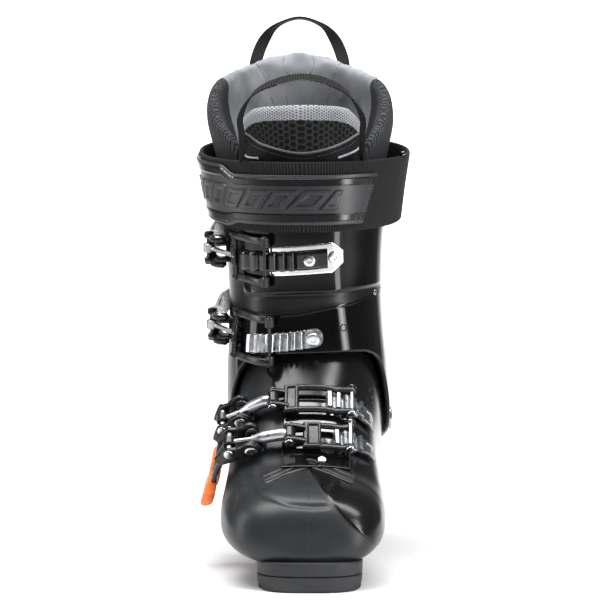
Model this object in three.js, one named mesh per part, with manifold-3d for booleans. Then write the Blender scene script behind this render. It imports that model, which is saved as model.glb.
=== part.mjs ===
// Alpine ski boot for the right foot: overlap shell, hinged cuff, liner, four buckles and a power strap.
// Millimetres, +Z up, toe towards -Y, inner (medial) side towards +X.
// The origin is the centre of the heel sole's rest face.

import * as THREE from 'three';
import { mergeVertices } from 'three/addons/utils/BufferGeometryUtils.js';
import Module from 'manifold-3d';

// ---------------------------------------------------------------- driving dimensions

const TOE_FRONT = -276;
const HEEL_BACK = 37;
const SOLE_LUG_WIDTH = 69;
const PAD_THICKNESS = 10;
const TOE_LUG_HEIGHT = 19;
const HEEL_LUG_HEIGHT = 30;
const TOE_PAD_LENGTH = 104;
const HEEL_PAD_LENGTH = 74;

const SHELL_WALL = 4.5;
const CUFF_WALL = 3;
const LINER_WALL = 9;
const GAP = 0.35;

const ANKLE_Y = -50;
const ANKLE_Z = 97;

const CUFF_AXIS = new THREE.Vector3(0, -0.2425, 0.9702);
const FOOT_AXIS = new THREE.Vector3(0, 0.7, 0.7141);

const PIN_RADIUS = 2;
const TRUNNION_STEP = 15;
const TRUNNION_RISE = 3;

// ---------------------------------------------------------------- materials

function material(color, roughness, metalness = 0) {
  return new THREE.MeshStandardMaterial({ color, roughness, metalness });
}

const MATTE_SHELL = material(0x2b2d2f, 0.5);
const GLOSS_BLACK = material(0x0b0b0c, 0.12);
const SATIN_BLACK = material(0x151617, 0.35);
const SOLE_RUBBER = material(0x26272a, 0.8);
const SILVER = material(0xc4c7ca, 0.25, 1);
const CHROME = material(0xe2e4e6, 0.08, 1);
const STEEL = material(0x9ea2a6, 0.3, 1);
const ORANGE = material(0xe8641a, 0.4);
const LINER_GREY = material(0x93969a, 0.7);
const LINER_DARK = material(0x34363a, 0.85);
const WEBBING = material(0x1a1b1c, 0.9);

// ---------------------------------------------------------------- small helpers

const wasm = await Module();
wasm.setup();

const boot = new THREE.Group();

function add(name, geometry, finish) {
  const mesh = new THREE.Mesh(geometry, finish);
  mesh.name = name;
  boot.add(mesh);
  return mesh;
}

/** A smooth curve through [position, value] pairs, held at its end values. */
function smooth(pairs) {
  const slopes = pairs.map((pair, i) => {
    const before = pairs[Math.max(i - 1, 0)];
    const after = pairs[Math.min(i + 1, pairs.length - 1)];
    return (after[1] - before[1]) / (after[0] - before[0]);
  });
  return (position) => {
    const last = pairs.length - 1;
    const p = Math.min(Math.max(position, pairs[0][0]), pairs[last][0]);
    let i = 0;
    while (i < last - 1 && p > pairs[i + 1][0]) i += 1;
    const span = pairs[i + 1][0] - pairs[i][0];
    const t = (p - pairs[i][0]) / span;
    const rise = pairs[i + 1][1] - pairs[i][1];
    const a = slopes[i] * span - rise;
    const b = rise - slopes[i + 1] * span;
    return pairs[i][1] + t * rise + t * (1 - t) * ((1 - t) * a + t * b);
  };
}

function radians(degrees) {
  return THREE.MathUtils.degToRad(degrees);
}

/** sin or cos raised to the power that squares an ellipse's corners by the exponent n. */
function squared(value, n) {
  return Math.sign(value) * Math.abs(value) ** (2 / n);
}

function meshFrom(points, faces) {
  const geometry = new THREE.BufferGeometry();
  const flat = points.flatMap((p) => [p.x, p.y, p.z]);
  geometry.setAttribute('position', new THREE.Float32BufferAttribute(flat, 3));
  geometry.setIndex(faces.flat());
  return outward(geometry);
}

/** Turns the faces round where the solid's signed volume is negative. */
function outward(geometry) {
  const position = geometry.getAttribute('position');
  const index = geometry.getIndex().array;
  const corner = (n) => new THREE.Vector3().fromBufferAttribute(position, index[n]);
  let volume = 0;
  for (let n = 0; n < index.length; n += 3) {
    volume += corner(n).dot(corner(n + 1).cross(corner(n + 2)));
  }
  if (volume < 0) {
    for (let n = 0; n < index.length; n += 3) {
      [index[n], index[n + 1]] = [index[n + 1], index[n]];
    }
  }
  geometry.computeVertexNormals();
  return geometry;
}

function quad(faces, a, b, c, d) {
  faces.push([a, b, c], [a, c, d]);
}

/** A wall between an outer and an inner surface, each a function of u and v in 0..1. */
function wall(outer, inner, uSteps, vSteps, closed) {
  const points = [];
  const faces = [];
  const columns = closed ? uSteps : uSteps + 1;
  for (const surface of [outer, inner]) {
    for (let i = 0; i < columns; i += 1) {
      for (let j = 0; j <= vSteps; j += 1) points.push(surface(i / uSteps, j / vSteps));
    }
  }
  const id = (side, i, j) => (side * columns + (i % columns)) * (vSteps + 1) + j;
  for (let i = 0; i < uSteps; i += 1) {
    for (let j = 0; j < vSteps; j += 1) {
      quad(faces, id(0, i, j), id(0, i + 1, j), id(0, i + 1, j + 1), id(0, i, j + 1));
      quad(faces, id(1, i, j), id(1, i, j + 1), id(1, i + 1, j + 1), id(1, i + 1, j));
    }
    quad(faces, id(0, i, 0), id(1, i, 0), id(1, i + 1, 0), id(0, i + 1, 0));
    quad(faces, id(0, i, vSteps), id(0, i + 1, vSteps), id(1, i + 1, vSteps), id(1, i, vSteps));
  }
  if (!closed) {
    for (let j = 0; j < vSteps; j += 1) {
      quad(faces, id(0, 0, j), id(0, 0, j + 1), id(1, 0, j + 1), id(1, 0, j));
      const e = uSteps;
      quad(faces, id(0, e, j), id(1, e, j), id(1, e, j + 1), id(0, e, j + 1));
    }
  }
  return meshFrom(points, faces);
}

/** A cup: rings from a closed tip to an open rim, with an inner surface of the same form. */
function cup(outer, outerTip, inner, innerTip, around, outerSteps, innerSteps) {
  const points = [outerTip, innerTip];
  const faces = [];
  const ring = (surface, t) => {
    const first = points.length;
    for (let i = 0; i < around; i += 1) points.push(surface(t, i / around));
    return first;
  };
  const skin = (surface, steps, tip, flip) => {
    let last = -1;
    for (let k = 1; k <= steps; k += 1) {
      const next = ring(surface, k / steps);
      for (let i = 0; i < around; i += 1) {
        const j = (i + 1) % around;
        if (last < 0) faces.push(flip ? [tip, next + i, next + j] : [tip, next + j, next + i]);
        else if (flip) quad(faces, last + i, next + i, next + j, last + j);
        else quad(faces, last + i, last + j, next + j, next + i);
      }
      last = next;
    }
    return last;
  };
  const outerRim = skin(outer, outerSteps, 0, false);
  const innerRim = skin(inner, innerSteps, 1, true);
  for (let i = 0; i < around; i += 1) {
    const j = (i + 1) % around;
    quad(faces, outerRim + i, outerRim + j, innerRim + j, innerRim + i);
  }
  return meshFrom(points, faces);
}

function toManifold(geometry) {
  const bare = geometry.clone();
  bare.deleteAttribute('normal');
  bare.deleteAttribute('uv');
  const merged = mergeVertices(bare, 1e-5);
  const vertProperties = new Float32Array(merged.getAttribute('position').array);
  const triVerts = new Uint32Array(merged.getIndex().array);
  return new wasm.Manifold(new wasm.Mesh({ numProp: 3, vertProperties, triVerts }));
}

function fromManifold(solid) {
  const mesh = solid.getMesh();
  const geometry = new THREE.BufferGeometry();
  geometry.setAttribute('position', new THREE.Float32BufferAttribute(mesh.vertProperties, 3));
  geometry.setIndex([...mesh.triVerts]);
  geometry.computeVertexNormals();
  return geometry;
}

function join(...geometries) {
  return fromManifold(geometries.map(toManifold).reduce((sum, next) => sum.add(next)));
}

function within(geometry, limit) {
  return fromManifold(toManifold(geometry).intersect(toManifold(limit)));
}

function cut(geometry, ...tools) {
  return fromManifold(tools.map(toManifold).reduce((left, tool) => left.subtract(tool),
    toManifold(geometry)));
}

/** A local frame: e along the piece, n away from the wall, a along the hinge axis. */
function frame(origin, e, a) {
  const along = e.clone().addScaledVector(a, -e.dot(a)).normalize();
  const away = new THREE.Vector3().crossVectors(a, along);
  return new THREE.Matrix4().makeBasis(along, away, a).setPosition(origin);
}

function extruded(shape, low, high, place) {
  const geometry = new THREE.ExtrudeGeometry(shape, {
    depth: high - low,
    bevelEnabled: false,
    curveSegments: 4,
  });
  geometry.translate(0, 0, low);
  return geometry.applyMatrix4(place);
}

function outline(...points) {
  return new THREE.Shape(points.map(([x, y]) => new THREE.Vector2(x, y)));
}

function disc(radius, sides, x = 0, y = 0) {
  const corners = Array.from({ length: sides }, (_, i) => {
    const angle = (2 * Math.PI * (i + 0.5)) / sides;
    return [x + radius * Math.cos(angle), y + radius * Math.sin(angle)];
  });
  return outline(...corners);
}

/** A pin with a head at each end, along the frame's third axis. */
function pin(place, low, high, radius = PIN_RADIUS, head = 1.6, headHeight = 1.6) {
  const profile = [
    [0, low - headHeight], [radius + head, low - headHeight], [radius + head, low], [radius, low],
    [radius, high], [radius + head, high], [radius + head, high + headHeight], [0, high + headHeight],
  ];
  const lathe = new THREE.LatheGeometry(profile.map(([r, z]) => new THREE.Vector2(r, z)), 8);
  lathe.rotateX(Math.PI / 2);
  return lathe.applyMatrix4(place);
}

function hole(place, x, y, low, high, radius = PIN_RADIUS + GAP) {
  return extruded(disc(radius, 10, x, y), low, high, place);
}

/** A screw with a low domed head, its shank going down from the surface. */
function screw(place, headRadius, headHeight, shankRadius, shankLength) {
  const profile = [
    [0, -shankLength], [shankRadius, -shankLength], [shankRadius, 0], [headRadius, 0],
    [headRadius * 0.8, headHeight], [0, headHeight],
  ];
  const lathe = new THREE.LatheGeometry(profile.map(([r, z]) => new THREE.Vector2(r, z)), 9);
  lathe.rotateX(Math.PI / 2);
  return lathe.applyMatrix4(place);
}

/** A frame whose third axis is the given direction, for round pieces. */
function aimed(origin, direction) {
  const turn = new THREE.Quaternion().setFromUnitVectors(
    new THREE.Vector3(0, 0, 1), direction.clone().normalize());
  return new THREE.Matrix4().makeRotationFromQuaternion(turn).setPosition(origin);
}

// ---------------------------------------------------------------- the foot's surface

// Each station of the lower shell: its top point and bottom point in the YZ plane, the half widths of the
// lateral and the medial side, how far up the widest place is, and the squareness of the upper half.
const STATIONS = [
  [[-270, 32], [-270, 32], 0, 0, 0.45, 2.3],
  [[-268, 45], [-270, 21], 26, 24, 0.45, 2.4],
  [[-260, 56], [-264, 15.5], 42, 38, 0.46, 2.5],
  [[-246, 64], [-252, 13.5], 52, 45.5, 0.47, 2.5],
  [[-229, 70.5], [-232, 13], 57.5, 49, 0.46, 2.5],
  [[-212, 78], [-208, 13], 59.5, 50.5, 0.43, 2.5],
  [[-194, 93], [-180, 13.5], 59, 50.5, 0.38, 2.4],
  [[-176, 113], [-148, 14], 57.5, 49.5, 0.38, 2.3],
  [[-160, 133], [-110, 14.5], 56, 49.5, 0.43, 2.3],
  [[-150, 148], [-70, 14], 54, 51.5, 0.5, 2.3],
  [[-144, 158], [-36, 13.5], 54, 53, 0.54, 2.3],
  [[-141, 166], [-4, 13], 54, 53.5, 0.56, 2.3],
  [[-140, 171], [18, 18], 54, 54, 0.54, 2.4],
  [[-139.5, 174], [27, 42], 54, 54, 0.52, 2.4],
  [[-139, 176.5], [27.5, 70], 53.5, 53.5, 0.51, 2.4],
  [[-138.5, 179], [23, 97], 52.5, 52.5, 0.5, 2.4],
  [[-138, 181], [17.5, 120], 51.5, 51.5, 0.5, 2.4],
];
const LAST_STATION = STATIONS.length - 1;
const LOWER_HALF_SQUARENESS = 2.5;

const stationCurves = [
  (s) => s[0][0], (s) => s[0][1], (s) => s[1][0], (s) => s[1][1],
  (s) => s[2], (s) => s[3], (s) => s[4], (s) => s[5],
].map((pick) => smooth(STATIONS.map((s, i) => [i, pick(s)])));

/** A point on the foot's surface: station 0 to 16, turn in radians from the top towards the medial side. */
function footPoint(station, turn, inset = { top: 0, bottom: 0, side: 0 }) {
  const [ty, tz, by, bz, lateral, medial, level, squareness] = stationCurves.map((c) => c(station));
  const length = Math.hypot(ty - by, tz - bz) || 1e-6;
  const up = length * (1 - level) - inset.top;
  const down = length * level - inset.bottom;
  const c = Math.cos(turn);
  const s = Math.sin(turn);
  const n = c > 0 ? squareness : LOWER_HALF_SQUARENESS;
  const rise = squared(c, n) * (c > 0 ? up : down) + length * level;
  const width = s > 0 ? medial : lateral;
  return new THREE.Vector3(
    squared(s, n) * (width - inset.side),
    by + ((ty - by) / length) * rise,
    bz + ((tz - bz) / length) * rise,
  );
}

/** A point off the foot's surface, in the plane at the given distance along the buckle's axis. */
function footBand(origin, turn, height, off) {
  let station = 7;
  let point = new THREE.Vector3();
  for (let k = 0; k < 24; k += 1) {
    point = offSurface((u, v) => footPoint(u, v), station, turn, -off);
    const error = point.clone().sub(origin).dot(FOOT_AXIS) - height;
    station -= THREE.MathUtils.clamp(error / 28, -0.6, 0.6);
  }
  return point;
}

function offSurface(surface, u, v, off) {
  const step = 0.02;
  const here = surface(u, v);
  const du = surface(u + step, v).sub(surface(u - step, v));
  const dv = surface(u, v + step).sub(surface(u, v - step));
  const normal = du.cross(dv).normalize();
  return here.addScaledVector(normal, off);
}

// ---------------------------------------------------------------- the leg's surface

const legFront = smooth([
  [80, -152], [120, -153], [148, -156], [190, -159], [230, -167], [270, -175], [300, -181], [340, -187],
  [390, -191],
]);
const legBack = smooth([
  [80, 34], [100, 33], [130, 28.5], [170, 16], [210, 3], [250, -8], [290, -15], [315, -20], [350, -26],
  [390, -31],
]);
const legHalfWidth = smooth([
  [80, 58.5], [110, 60.5], [140, 59.5], [165, 57.5], [195, 56.5], [225, 57.5], [245, 59.5], [270, 63],
  [300, 68], [330, 72], [354, 68.5], [390, 62],
]);
const legSquareness = smooth([[80, 2.9], [140, 2.9], [200, 2.55], [300, 2.4]]);
const LEG_LEAN = -0.0287;

/** A point on the leg's surface at height z: turn in radians from the front towards the medial side. */
function legPoint(z, turn) {
  const front = legFront(z);
  const back = legBack(z);
  const middle = (front + back) / 2;
  const depth = (back - front) / 2;
  const x = squared(Math.sin(turn), legSquareness(z)) * legHalfWidth(z);
  const y = middle - squared(Math.cos(turn), legSquareness(z)) * depth;
  return new THREE.Vector3(x + LEG_LEAN * Math.max(z - 100, 0), y, z);
}

function offLeg(z, turn, off) {
  return offSurface((u, v) => legPoint(u, v), z, turn, -off);
}

/** A point off the leg's surface, in the plane at the given distance along the buckle's axis. */
function legBand(origin, turn, height, off) {
  let z = origin.z;
  let point = new THREE.Vector3();
  for (let k = 0; k < 24; k += 1) {
    point = offLeg(z, turn, off);
    z -= (point.clone().sub(origin).dot(CUFF_AXIS) - height) * 0.9;
  }
  return point;
}

// ---------------------------------------------------------------- soles and lower shell

/** The sole's outline from its end at y0 to y1, with the round end at y0. */
function soleOutline(y0, y1, inset) {
  const half = SOLE_LUG_WIDTH / 2 - inset;
  const sign = Math.sign(y1 - y0);
  const shape = [];
  const round = 7;
  for (let i = -round; i <= round; i += 1) {
    const angle = (i / round) * (Math.PI / 2);
    shape.push([half * squared(Math.sin(angle), 3.2), y0 + sign * (inset + 26 * (1 - Math.cos(angle)))]);
  }
  shape.push([half, y1 - sign * inset], [-half, y1 - sign * inset]);
  return outline(...shape);
}

const UPRIGHT = new THREE.Matrix4();
const TOE_PAD_END = TOE_FRONT + TOE_PAD_LENGTH;
const HEEL_PAD_END = HEEL_BACK - HEEL_PAD_LENGTH;

function cupSurface(inset, first) {
  return (t, i) => footPoint(first + t * (LAST_STATION - first), i * 2 * Math.PI, inset);
}

function footCup(outerInset, innerInset, outerFirst, innerFirst, steps) {
  const outerTip = footPoint(outerFirst, Math.PI / 2, outerInset);
  const innerTip = footPoint(innerFirst, Math.PI / 2, innerInset);
  outerTip.x = 0;
  innerTip.x = 0;
  outerTip.y -= outerFirst > 0 ? 3 : 0;
  innerTip.y -= 3;
  return cup(cupSurface(outerInset, outerFirst), outerTip, cupSurface(innerInset, innerFirst), innerTip,
    ...steps);
}

function even(inset) {
  return { top: inset, bottom: inset, side: inset };
}

const shellCup = footCup(even(0), even(SHELL_WALL), 0, 1.4, [30, 18, 12]);
const ledgeBottom = PAD_THICKNESS + GAP;
const toeLedge = extruded(soleOutline(TOE_FRONT, TOE_PAD_END, 0), ledgeBottom, TOE_LUG_HEIGHT, UPRIGHT);
const heelLedge = extruded(soleOutline(HEEL_BACK, HEEL_PAD_END, 0), ledgeBottom, HEEL_LUG_HEIGHT, UPRIGHT);

/** The foot's inner space as a closed solid, to keep the ledges out of it. */
function closedFoot(inset, first) {
  const points = [];
  const faces = [];
  const around = 32;
  const steps = 14;
  const surface = cupSurface(inset, first);
  const tip = footPoint(first, Math.PI / 2, inset);
  tip.x = 0;
  tip.y -= 3;
  points.push(tip);
  for (let k = 1; k <= steps; k += 1) {
    for (let i = 0; i < around; i += 1) points.push(surface(k / steps, i / around));
  }
  const end = footPoint(LAST_STATION, 0, inset).add(footPoint(LAST_STATION, Math.PI, inset));
  points.push(end.multiplyScalar(0.5));
  for (let i = 0; i < around; i += 1) {
    const j = (i + 1) % around;
    faces.push([0, 1 + j, 1 + i]);
    for (let k = 0; k < steps - 1; k += 1) {
      const low = 1 + k * around;
      quad(faces, low + i, low + j, low + around + j, low + around + i);
    }
    const rim = 1 + (steps - 1) * around;
    faces.push([rim + i, rim + j, points.length - 1]);
  }
  return meshFrom(points, faces);
}

const wallMiddle = closedFoot(even(SHELL_WALL / 2), 0.8);
const ledges = [toeLedge, heelLedge].map((ledge) => cut(ledge, wallMiddle));
add('lower_shell', join(shellCup, ...ledges), MATTE_SHELL);

/** A sole pad with shallow cross grooves in its tread. */
function solePad(y0, y1, grooves) {
  const pad = extruded(soleOutline(y0, y1, 0), 0, PAD_THICKNESS, UPRIGHT);
  const cutters = grooves.map((y) => {
    const bar = new THREE.BoxGeometry(SOLE_LUG_WIDTH + 4, 4, 6);
    return bar.translate(0, y, 0);
  });
  return cut(pad, ...cutters);
}

const TOE_SCREWS_Y = [-238, -196];
const HEEL_SCREWS_Y = [-20, 18];

function soleScrewPlace(y) {
  return aimed(new THREE.Vector3(0, y, PAD_THICKNESS * 0.6), new THREE.Vector3(0, 0, -1));
}

function drilled(pad, places) {
  const holes = places.map((y) => new THREE.CylinderGeometry(5.4, 5.4, 30, 14).rotateX(Math.PI / 2)
    .translate(0, y, 0));
  return cut(pad, ...holes);
}

add('toe_sole', drilled(solePad(TOE_FRONT, TOE_PAD_END, [-256, -218, -182]), TOE_SCREWS_Y), SOLE_RUBBER);
add('heel_sole', drilled(solePad(HEEL_BACK, HEEL_PAD_END, [-28, 28]), HEEL_SCREWS_Y), SOLE_RUBBER);
[...TOE_SCREWS_Y, ...HEEL_SCREWS_Y].forEach((y, i) => {
  const end = i < 2 ? 'toe' : 'heel';
  add(`${end}_sole_screw_${(i % 2) + 1}`, screw(soleScrewPlace(y), 4.8, 2.4, 2, 3.2), STEEL);
});

// ---------------------------------------------------------------- inside the foot

const BOARD_TOP = 25;
const BOARD_BOTTOM = 20.5;
const LINER_FOOT_INSET = { top: 6.4, bottom: 17, side: 6.4 };
const LINER_SPACE_INSET = { top: 11.6, bottom: 22, side: 11.6 };

/** A flat plate that follows the foot's plan shape between two heights. */
function footPlate(low, high, inset, y0, y1) {
  const halfWidth = smooth([[-250, 30], [-236, 42], [-205, 47], [-160, 40], [-90, 34], [-30, 34], [4, 26]]);
  const lateral = smooth([[-250, 30], [-236, 46], [-205, 50], [-160, 44], [-90, 36], [-30, 34], [4, 26]]);
  const steps = 12;
  const right = [];
  const left = [];
  for (let i = 0; i <= steps; i += 1) {
    const y = THREE.MathUtils.lerp(y0, y1, i / steps);
    right.push([halfWidth(y) - inset, y]);
    left.unshift([-(lateral(y) - inset), y]);
  }
  return extruded(outline(...right, ...left), low, high, UPRIGHT);
}

const boardRoom = closedFoot(even(SHELL_WALL + 2.2), 1.9);
add('boot_board', within(footPlate(BOARD_BOTTOM, BOARD_TOP, 0, -240, 2), boardRoom), SATIN_BLACK);
add('liner_foot', footCup(LINER_FOOT_INSET, LINER_SPACE_INSET, 1.9, 2.9, [22, 11, 9]), LINER_DARK);
const footRoom = closedFoot({ top: 14, bottom: 27, side: 16 }, 3.4);
add('footbed', within(footPlate(42, 45, 2, -236, 0), footRoom), LINER_GREY);

// ---------------------------------------------------------------- cuff

const cuffBottomMedial = smooth([
  [0, 148], [25, 149.5], [42, 149], [58, 141], [72, 116], [85, 90], [105, 80], [135, 84], [160, 92],
  [180, 95],
]);
const cuffBottomLateral = smooth([
  [0, 148], [25, 146], [40, 142], [58, 124], [72, 100], [88, 84], [105, 80], [135, 84], [160, 92], [180, 95],
]);
const cuffTop = smooth([[0, 262], [40, 265], [90, 284], [140, 300], [180, 305]]);

/** The turn in radians for u in 0..1, all the way round from the back. */
function fullTurn(u) {
  return (u - 0.5) * 2 * Math.PI;
}

function cuffEdge(turn) {
  const degrees = THREE.MathUtils.radToDeg(Math.abs(turn));
  return [(turn > 0 ? cuffBottomMedial : cuffBottomLateral)(degrees), cuffTop(degrees)];
}

function cuffSurface(off) {
  return (u, v) => {
    const turn = fullTurn(u);
    const [low, high] = cuffEdge(turn);
    return offLeg(THREE.MathUtils.lerp(low, high, v), turn, off);
  };
}

const pivotPlaces = [-1, 1].map((side) => {
  const out = new THREE.Vector3(side, 0, 0);
  return aimed(new THREE.Vector3(side * 61.2, ANKLE_Y, ANKLE_Z), out);
});

/** Room for a bolt's shank through the walls, along the frame's third axis. */
function bore(place, radius, length) {
  return extruded(disc(radius, 12), -length, length, place);
}

const BOLT_SHANK = 3.5;
const spineBolts = [150, 178].map((z) => {
  const turn = Math.PI;
  const at = offLeg(z, turn, 0.4);
  const out = offLeg(z, turn, 10).sub(at);
  return aimed(at, out);
});

const cuffBores = [...pivotPlaces, ...spineBolts].map((place) => bore(place, BOLT_SHANK + GAP, 6));
add('cuff_shell', cut(wall(cuffSurface(0), cuffSurface(-CUFF_WALL), 36, 9, true), ...cuffBores), SATIN_BLACK);
['lateral', 'medial'].forEach((side, i) => {
  add(`ankle_pivot_${side}`, screw(pivotPlaces[i], 9, 2.2, BOLT_SHANK, 4.2), STEEL);
});
spineBolts.forEach((place, i) => add(`spine_bolt_${i + 1}`, screw(place, 6, 2, BOLT_SHANK, 3), STEEL));

// ---------------------------------------------------------------- liner, tongue and loops

const linerTop = smooth([
  [50, 300], [62, 312], [76, 332], [90, 348], [105, 357], [125, 365], [149, 374], [165, 380], [180, 382],
]);
const linerBottom = smooth([[50, 200], [90, 172], [140, 150], [180, 140]]);
const LINER_OPENING = radians(52);
const CUFF_TO_LINER = 4.2;

function linerSurface(off) {
  return (u, v) => {
    const turn = LINER_OPENING + u * (2 * Math.PI - 2 * LINER_OPENING);
    const signed = turn > Math.PI ? turn - 2 * Math.PI : turn;
    const degrees = THREE.MathUtils.radToDeg(Math.abs(signed));
    const z = THREE.MathUtils.lerp(linerBottom(degrees), linerTop(degrees), v);
    return offLeg(z, signed, off);
  };
}

add('liner_cuff', wall(linerSurface(-CUFF_TO_LINER), linerSurface(-CUFF_TO_LINER - LINER_WALL), 24, 6, false),
  LINER_GREY);

const TONGUE_HALF = radians(46);
const tongueTop = smooth([[0, 322], [25, 320], [46, 308]]);

function tongueSurface(off) {
  return (u, v) => {
    const turn = (u * 2 - 1) * TONGUE_HALF;
    const z = THREE.MathUtils.lerp(200, tongueTop(THREE.MathUtils.radToDeg(Math.abs(turn))), v);
    return offLeg(z, turn, off);
  };
}

add('tongue', wall(tongueSurface(-CUFF_TO_LINER - 1), tongueSurface(-CUFF_TO_LINER - 10), 12, 8, false),
  LINER_DARK);

/** A flat band along a curve: width across the boot's front-back direction, thickness away from it. */
function loopBand(points, width, thickness, across) {
  const path = new THREE.CatmullRomCurve3(points);
  const side = across.clone().normalize();
  const face = (sign) => (u, v) => {
    const at = path.getPoint(u);
    const along = path.getTangent(u);
    const away = new THREE.Vector3().crossVectors(along, side).normalize();
    return at.addScaledVector(side, (v - 0.5) * width).addScaledVector(away, (sign * thickness) / 2);
  };
  return wall(face(1), face(-1), 18, 1, false);
}

const rearLoopPoints = [
  [-46, -35.5, 362], [-45, -35, 375], [-41, -31, 386], [-33, -27, 395], [-22, -25, 403], [-11, -24, 406.5],
  [2, -24, 402], [15, -26, 393], [25, -31, 384], [29.5, -35, 375], [30.5, -35.5, 362],
].map(([x, y, z]) => new THREE.Vector3(x, y, z));
add('rear_pull_loop', loopBand(rearLoopPoints, 9, 1.6, new THREE.Vector3(0, 1, 0.3)), WEBBING);

const tongueLoopPoints = [
  [-46, -176, 296], [-47, -182, 312], [-38, -186, 327], [-22, -188, 335], [-5, -188.5, 338],
  [12, -188, 335], [26, -186, 327], [35, -182, 312], [34, -176, 296],
].map(([x, y, z]) => new THREE.Vector3(x, y, z));
add('tongue_pull_loop', loopBand(tongueLoopPoints, 8, 1.4, new THREE.Vector3(0, 1, 0.6)), WEBBING);

// ---------------------------------------------------------------- power strap

const STRAP_HEIGHT = 48;
const STRAP_THICKNESS = 3;
const STRAP_FRONT_Z = 258;
const STRAP_TILT = 0.2;
const strapStandOff = smooth([
  [-180, 3], [-120, 3.5], [-90, 4.5], [-40, 4], [0, 3.5], [40, 5], [75, 9], [100, 9], [140, 5], [180, 3],
]);

function strapPoint(turn, v, off) {
  const lower = offLeg(STRAP_FRONT_Z, turn, 0);
  const z = STRAP_FRONT_Z + STRAP_TILT * (lower.y - legFront(STRAP_FRONT_Z));
  const away = strapStandOff(THREE.MathUtils.radToDeg(turn)) + off;
  return offLeg(z + (v - 0.5) * STRAP_HEIGHT, turn, away);
}

add('power_strap', wall(
  (u, v) => strapPoint(fullTurn(u), v, STRAP_THICKNESS),
  (u, v) => strapPoint(fullTurn(u), v, 0),
  36, 2, true), WEBBING);

const OVERLAY_FROM = radians(-100);
const OVERLAY_TO = radians(38);
const OVERLAY_THICKNESS = 2.6;

function overlayFace(off) {
  return (u, v) => {
    const slant = radians(8) * (v - 0.5) * u;
    const turn = THREE.MathUtils.lerp(OVERLAY_FROM, OVERLAY_TO, u) + slant;
    return strapPoint(turn, 0.1 + v * 0.74, off);
  };
}

add('strap_overlay', wall(
  overlayFace(STRAP_THICKNESS + 0.5 + OVERLAY_THICKNESS), overlayFace(STRAP_THICKNESS + 0.5),
  22, 2, false), SATIN_BLACK);

// ---------------------------------------------------------------- instep cover and catches

/** A strip off a wall: turn range in degrees, range along the axis, and its inner and outer offsets. */
function strip(band, origin, turns, heights, inner, outer, steps, rise = 0, rows = 1) {
  const turn = Array.isArray(turns) ? (u) => THREE.MathUtils.lerp(turns[0], turns[1], u) : turns;
  const face = (off) => (u, v) => {
    const height = THREE.MathUtils.lerp(heights[0], heights[1], v) + rise * u;
    return band(origin, radians(turn(u)), height, off(u));
  };
  return wall(face(outer), face(inner), steps, rows, false);
}

/** The turn, in degrees, at which the leg's front at height z has that x. */
function turnAtX(z, x) {
  const share = (x - LEG_LEAN * Math.max(z - 100, 0)) / legHalfWidth(z);
  return THREE.MathUtils.radToDeg(Math.asin(squared(share, 4 / legSquareness(z))));
}

/** Turns for a strip whose steps are even in x, from one x to another. */
function evenInX(origin, from, to) {
  return (u) => turnAtX(origin.z, THREE.MathUtils.lerp(from, to, u));
}

/** Square teeth over the first part of a strip: an offset as a function of u in 0..1. */
function teeth(count, share, valley, peak) {
  return (u) => {
    if (u > share) return valley + (peak - valley) * 0.5;
    const phase = ((u / share) * count) % 1;
    return phase < 0.45 ? peak : valley;
  };
}

const flat = (value) => () => value;

const INSTEP_ORIGIN = new THREE.Vector3(0, -175, 114);
const TOE_ORIGIN = new THREE.Vector3(0, -197, 89.5);
const UPPER_ORIGIN = new THREE.Vector3(0, -163.6, 213);
const LOWER_ORIGIN = new THREE.Vector3(0, -157, 158);

/** A point on the outer normal of a wall, as a frame for a screw. */
function onWall(band, origin, turn, height, off) {
  const at = band(origin, radians(turn), height, off);
  const out = band(origin, radians(turn), height, off + 5).sub(at);
  return aimed(at, out);
}

const coverScrew = onWall(footBand, TOE_ORIGIN, 6, -20, 3);
const cover = strip(footBand, TOE_ORIGIN, [-14, 27], [-27, 36], flat(0.7), flat(1.9), 8, 0, 6);
add('overlap_cover', cut(cover, bore(coverScrew, 1.5 + GAP, 4)), GLOSS_BLACK);
add('cover_screw', screw(coverScrew, 2.8, 1.2, 1.5, 1.4), STEEL);

const LADDER_HALF = 6.6;
const LADDER_BASE = 2.5;
const footLadders = [
  { name: 'instep', origin: INSTEP_ORIGIN, turns: [10, 56], count: 5, share: 0.7 },
  { name: 'toe', origin: TOE_ORIGIN, turns: [14, 54], count: 4, share: 0.62 },
];
footLadders.forEach(({ name, origin, turns, count, share }) => {
  const saw = teeth(count, share, 4.4, 7.4);
  const heights = [-LADDER_HALF, LADDER_HALF];
  add(`${name}_ladder`, strip(footBand, origin, turns, heights, flat(LADDER_BASE), saw, 26),
    STEEL);
});

// The cuff's ladders lie along x and rise towards the medial side, by a share of the distance.
const UPPER_RISE = 0.078;
const LOWER_RISE = 0.1445;

function ladderHeights(middle, half) {
  return [middle - half, middle + half];
}

const plateScrew = onWall(legBand, UPPER_ORIGIN, turnAtX(UPPER_ORIGIN.z, 16.9), 2.9, 1.9);
const ladderScrew = onWall(legBand, UPPER_ORIGIN, turnAtX(UPPER_ORIGIN.z, 0), 1.6, 4.8);
const lowerScrew = onWall(legBand, LOWER_ORIGIN, turnAtX(LOWER_ORIGIN.z, 2.7), 1.4, 4.9);
const plate = strip(legBand, UPPER_ORIGIN, evenInX(UPPER_ORIGIN, -27.3, 23.6), ladderHeights(-0.5, 11),
  flat(0.6), flat(1.6), 10, UPPER_RISE * 50.9);
add('upper_base_plate', cut(plate, bore(plateScrew, 2 + GAP, 4), bore(ladderScrew, 1.6 + GAP, 6)), CHROME);
const upperLadder = strip(legBand, UPPER_ORIGIN, evenInX(UPPER_ORIGIN, -44.8, 12.4), ladderHeights(-1.9, 6.8),
  flat(2), teeth(6, 0.64, 3, 5.6), 28, UPPER_RISE * 57.2);
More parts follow.
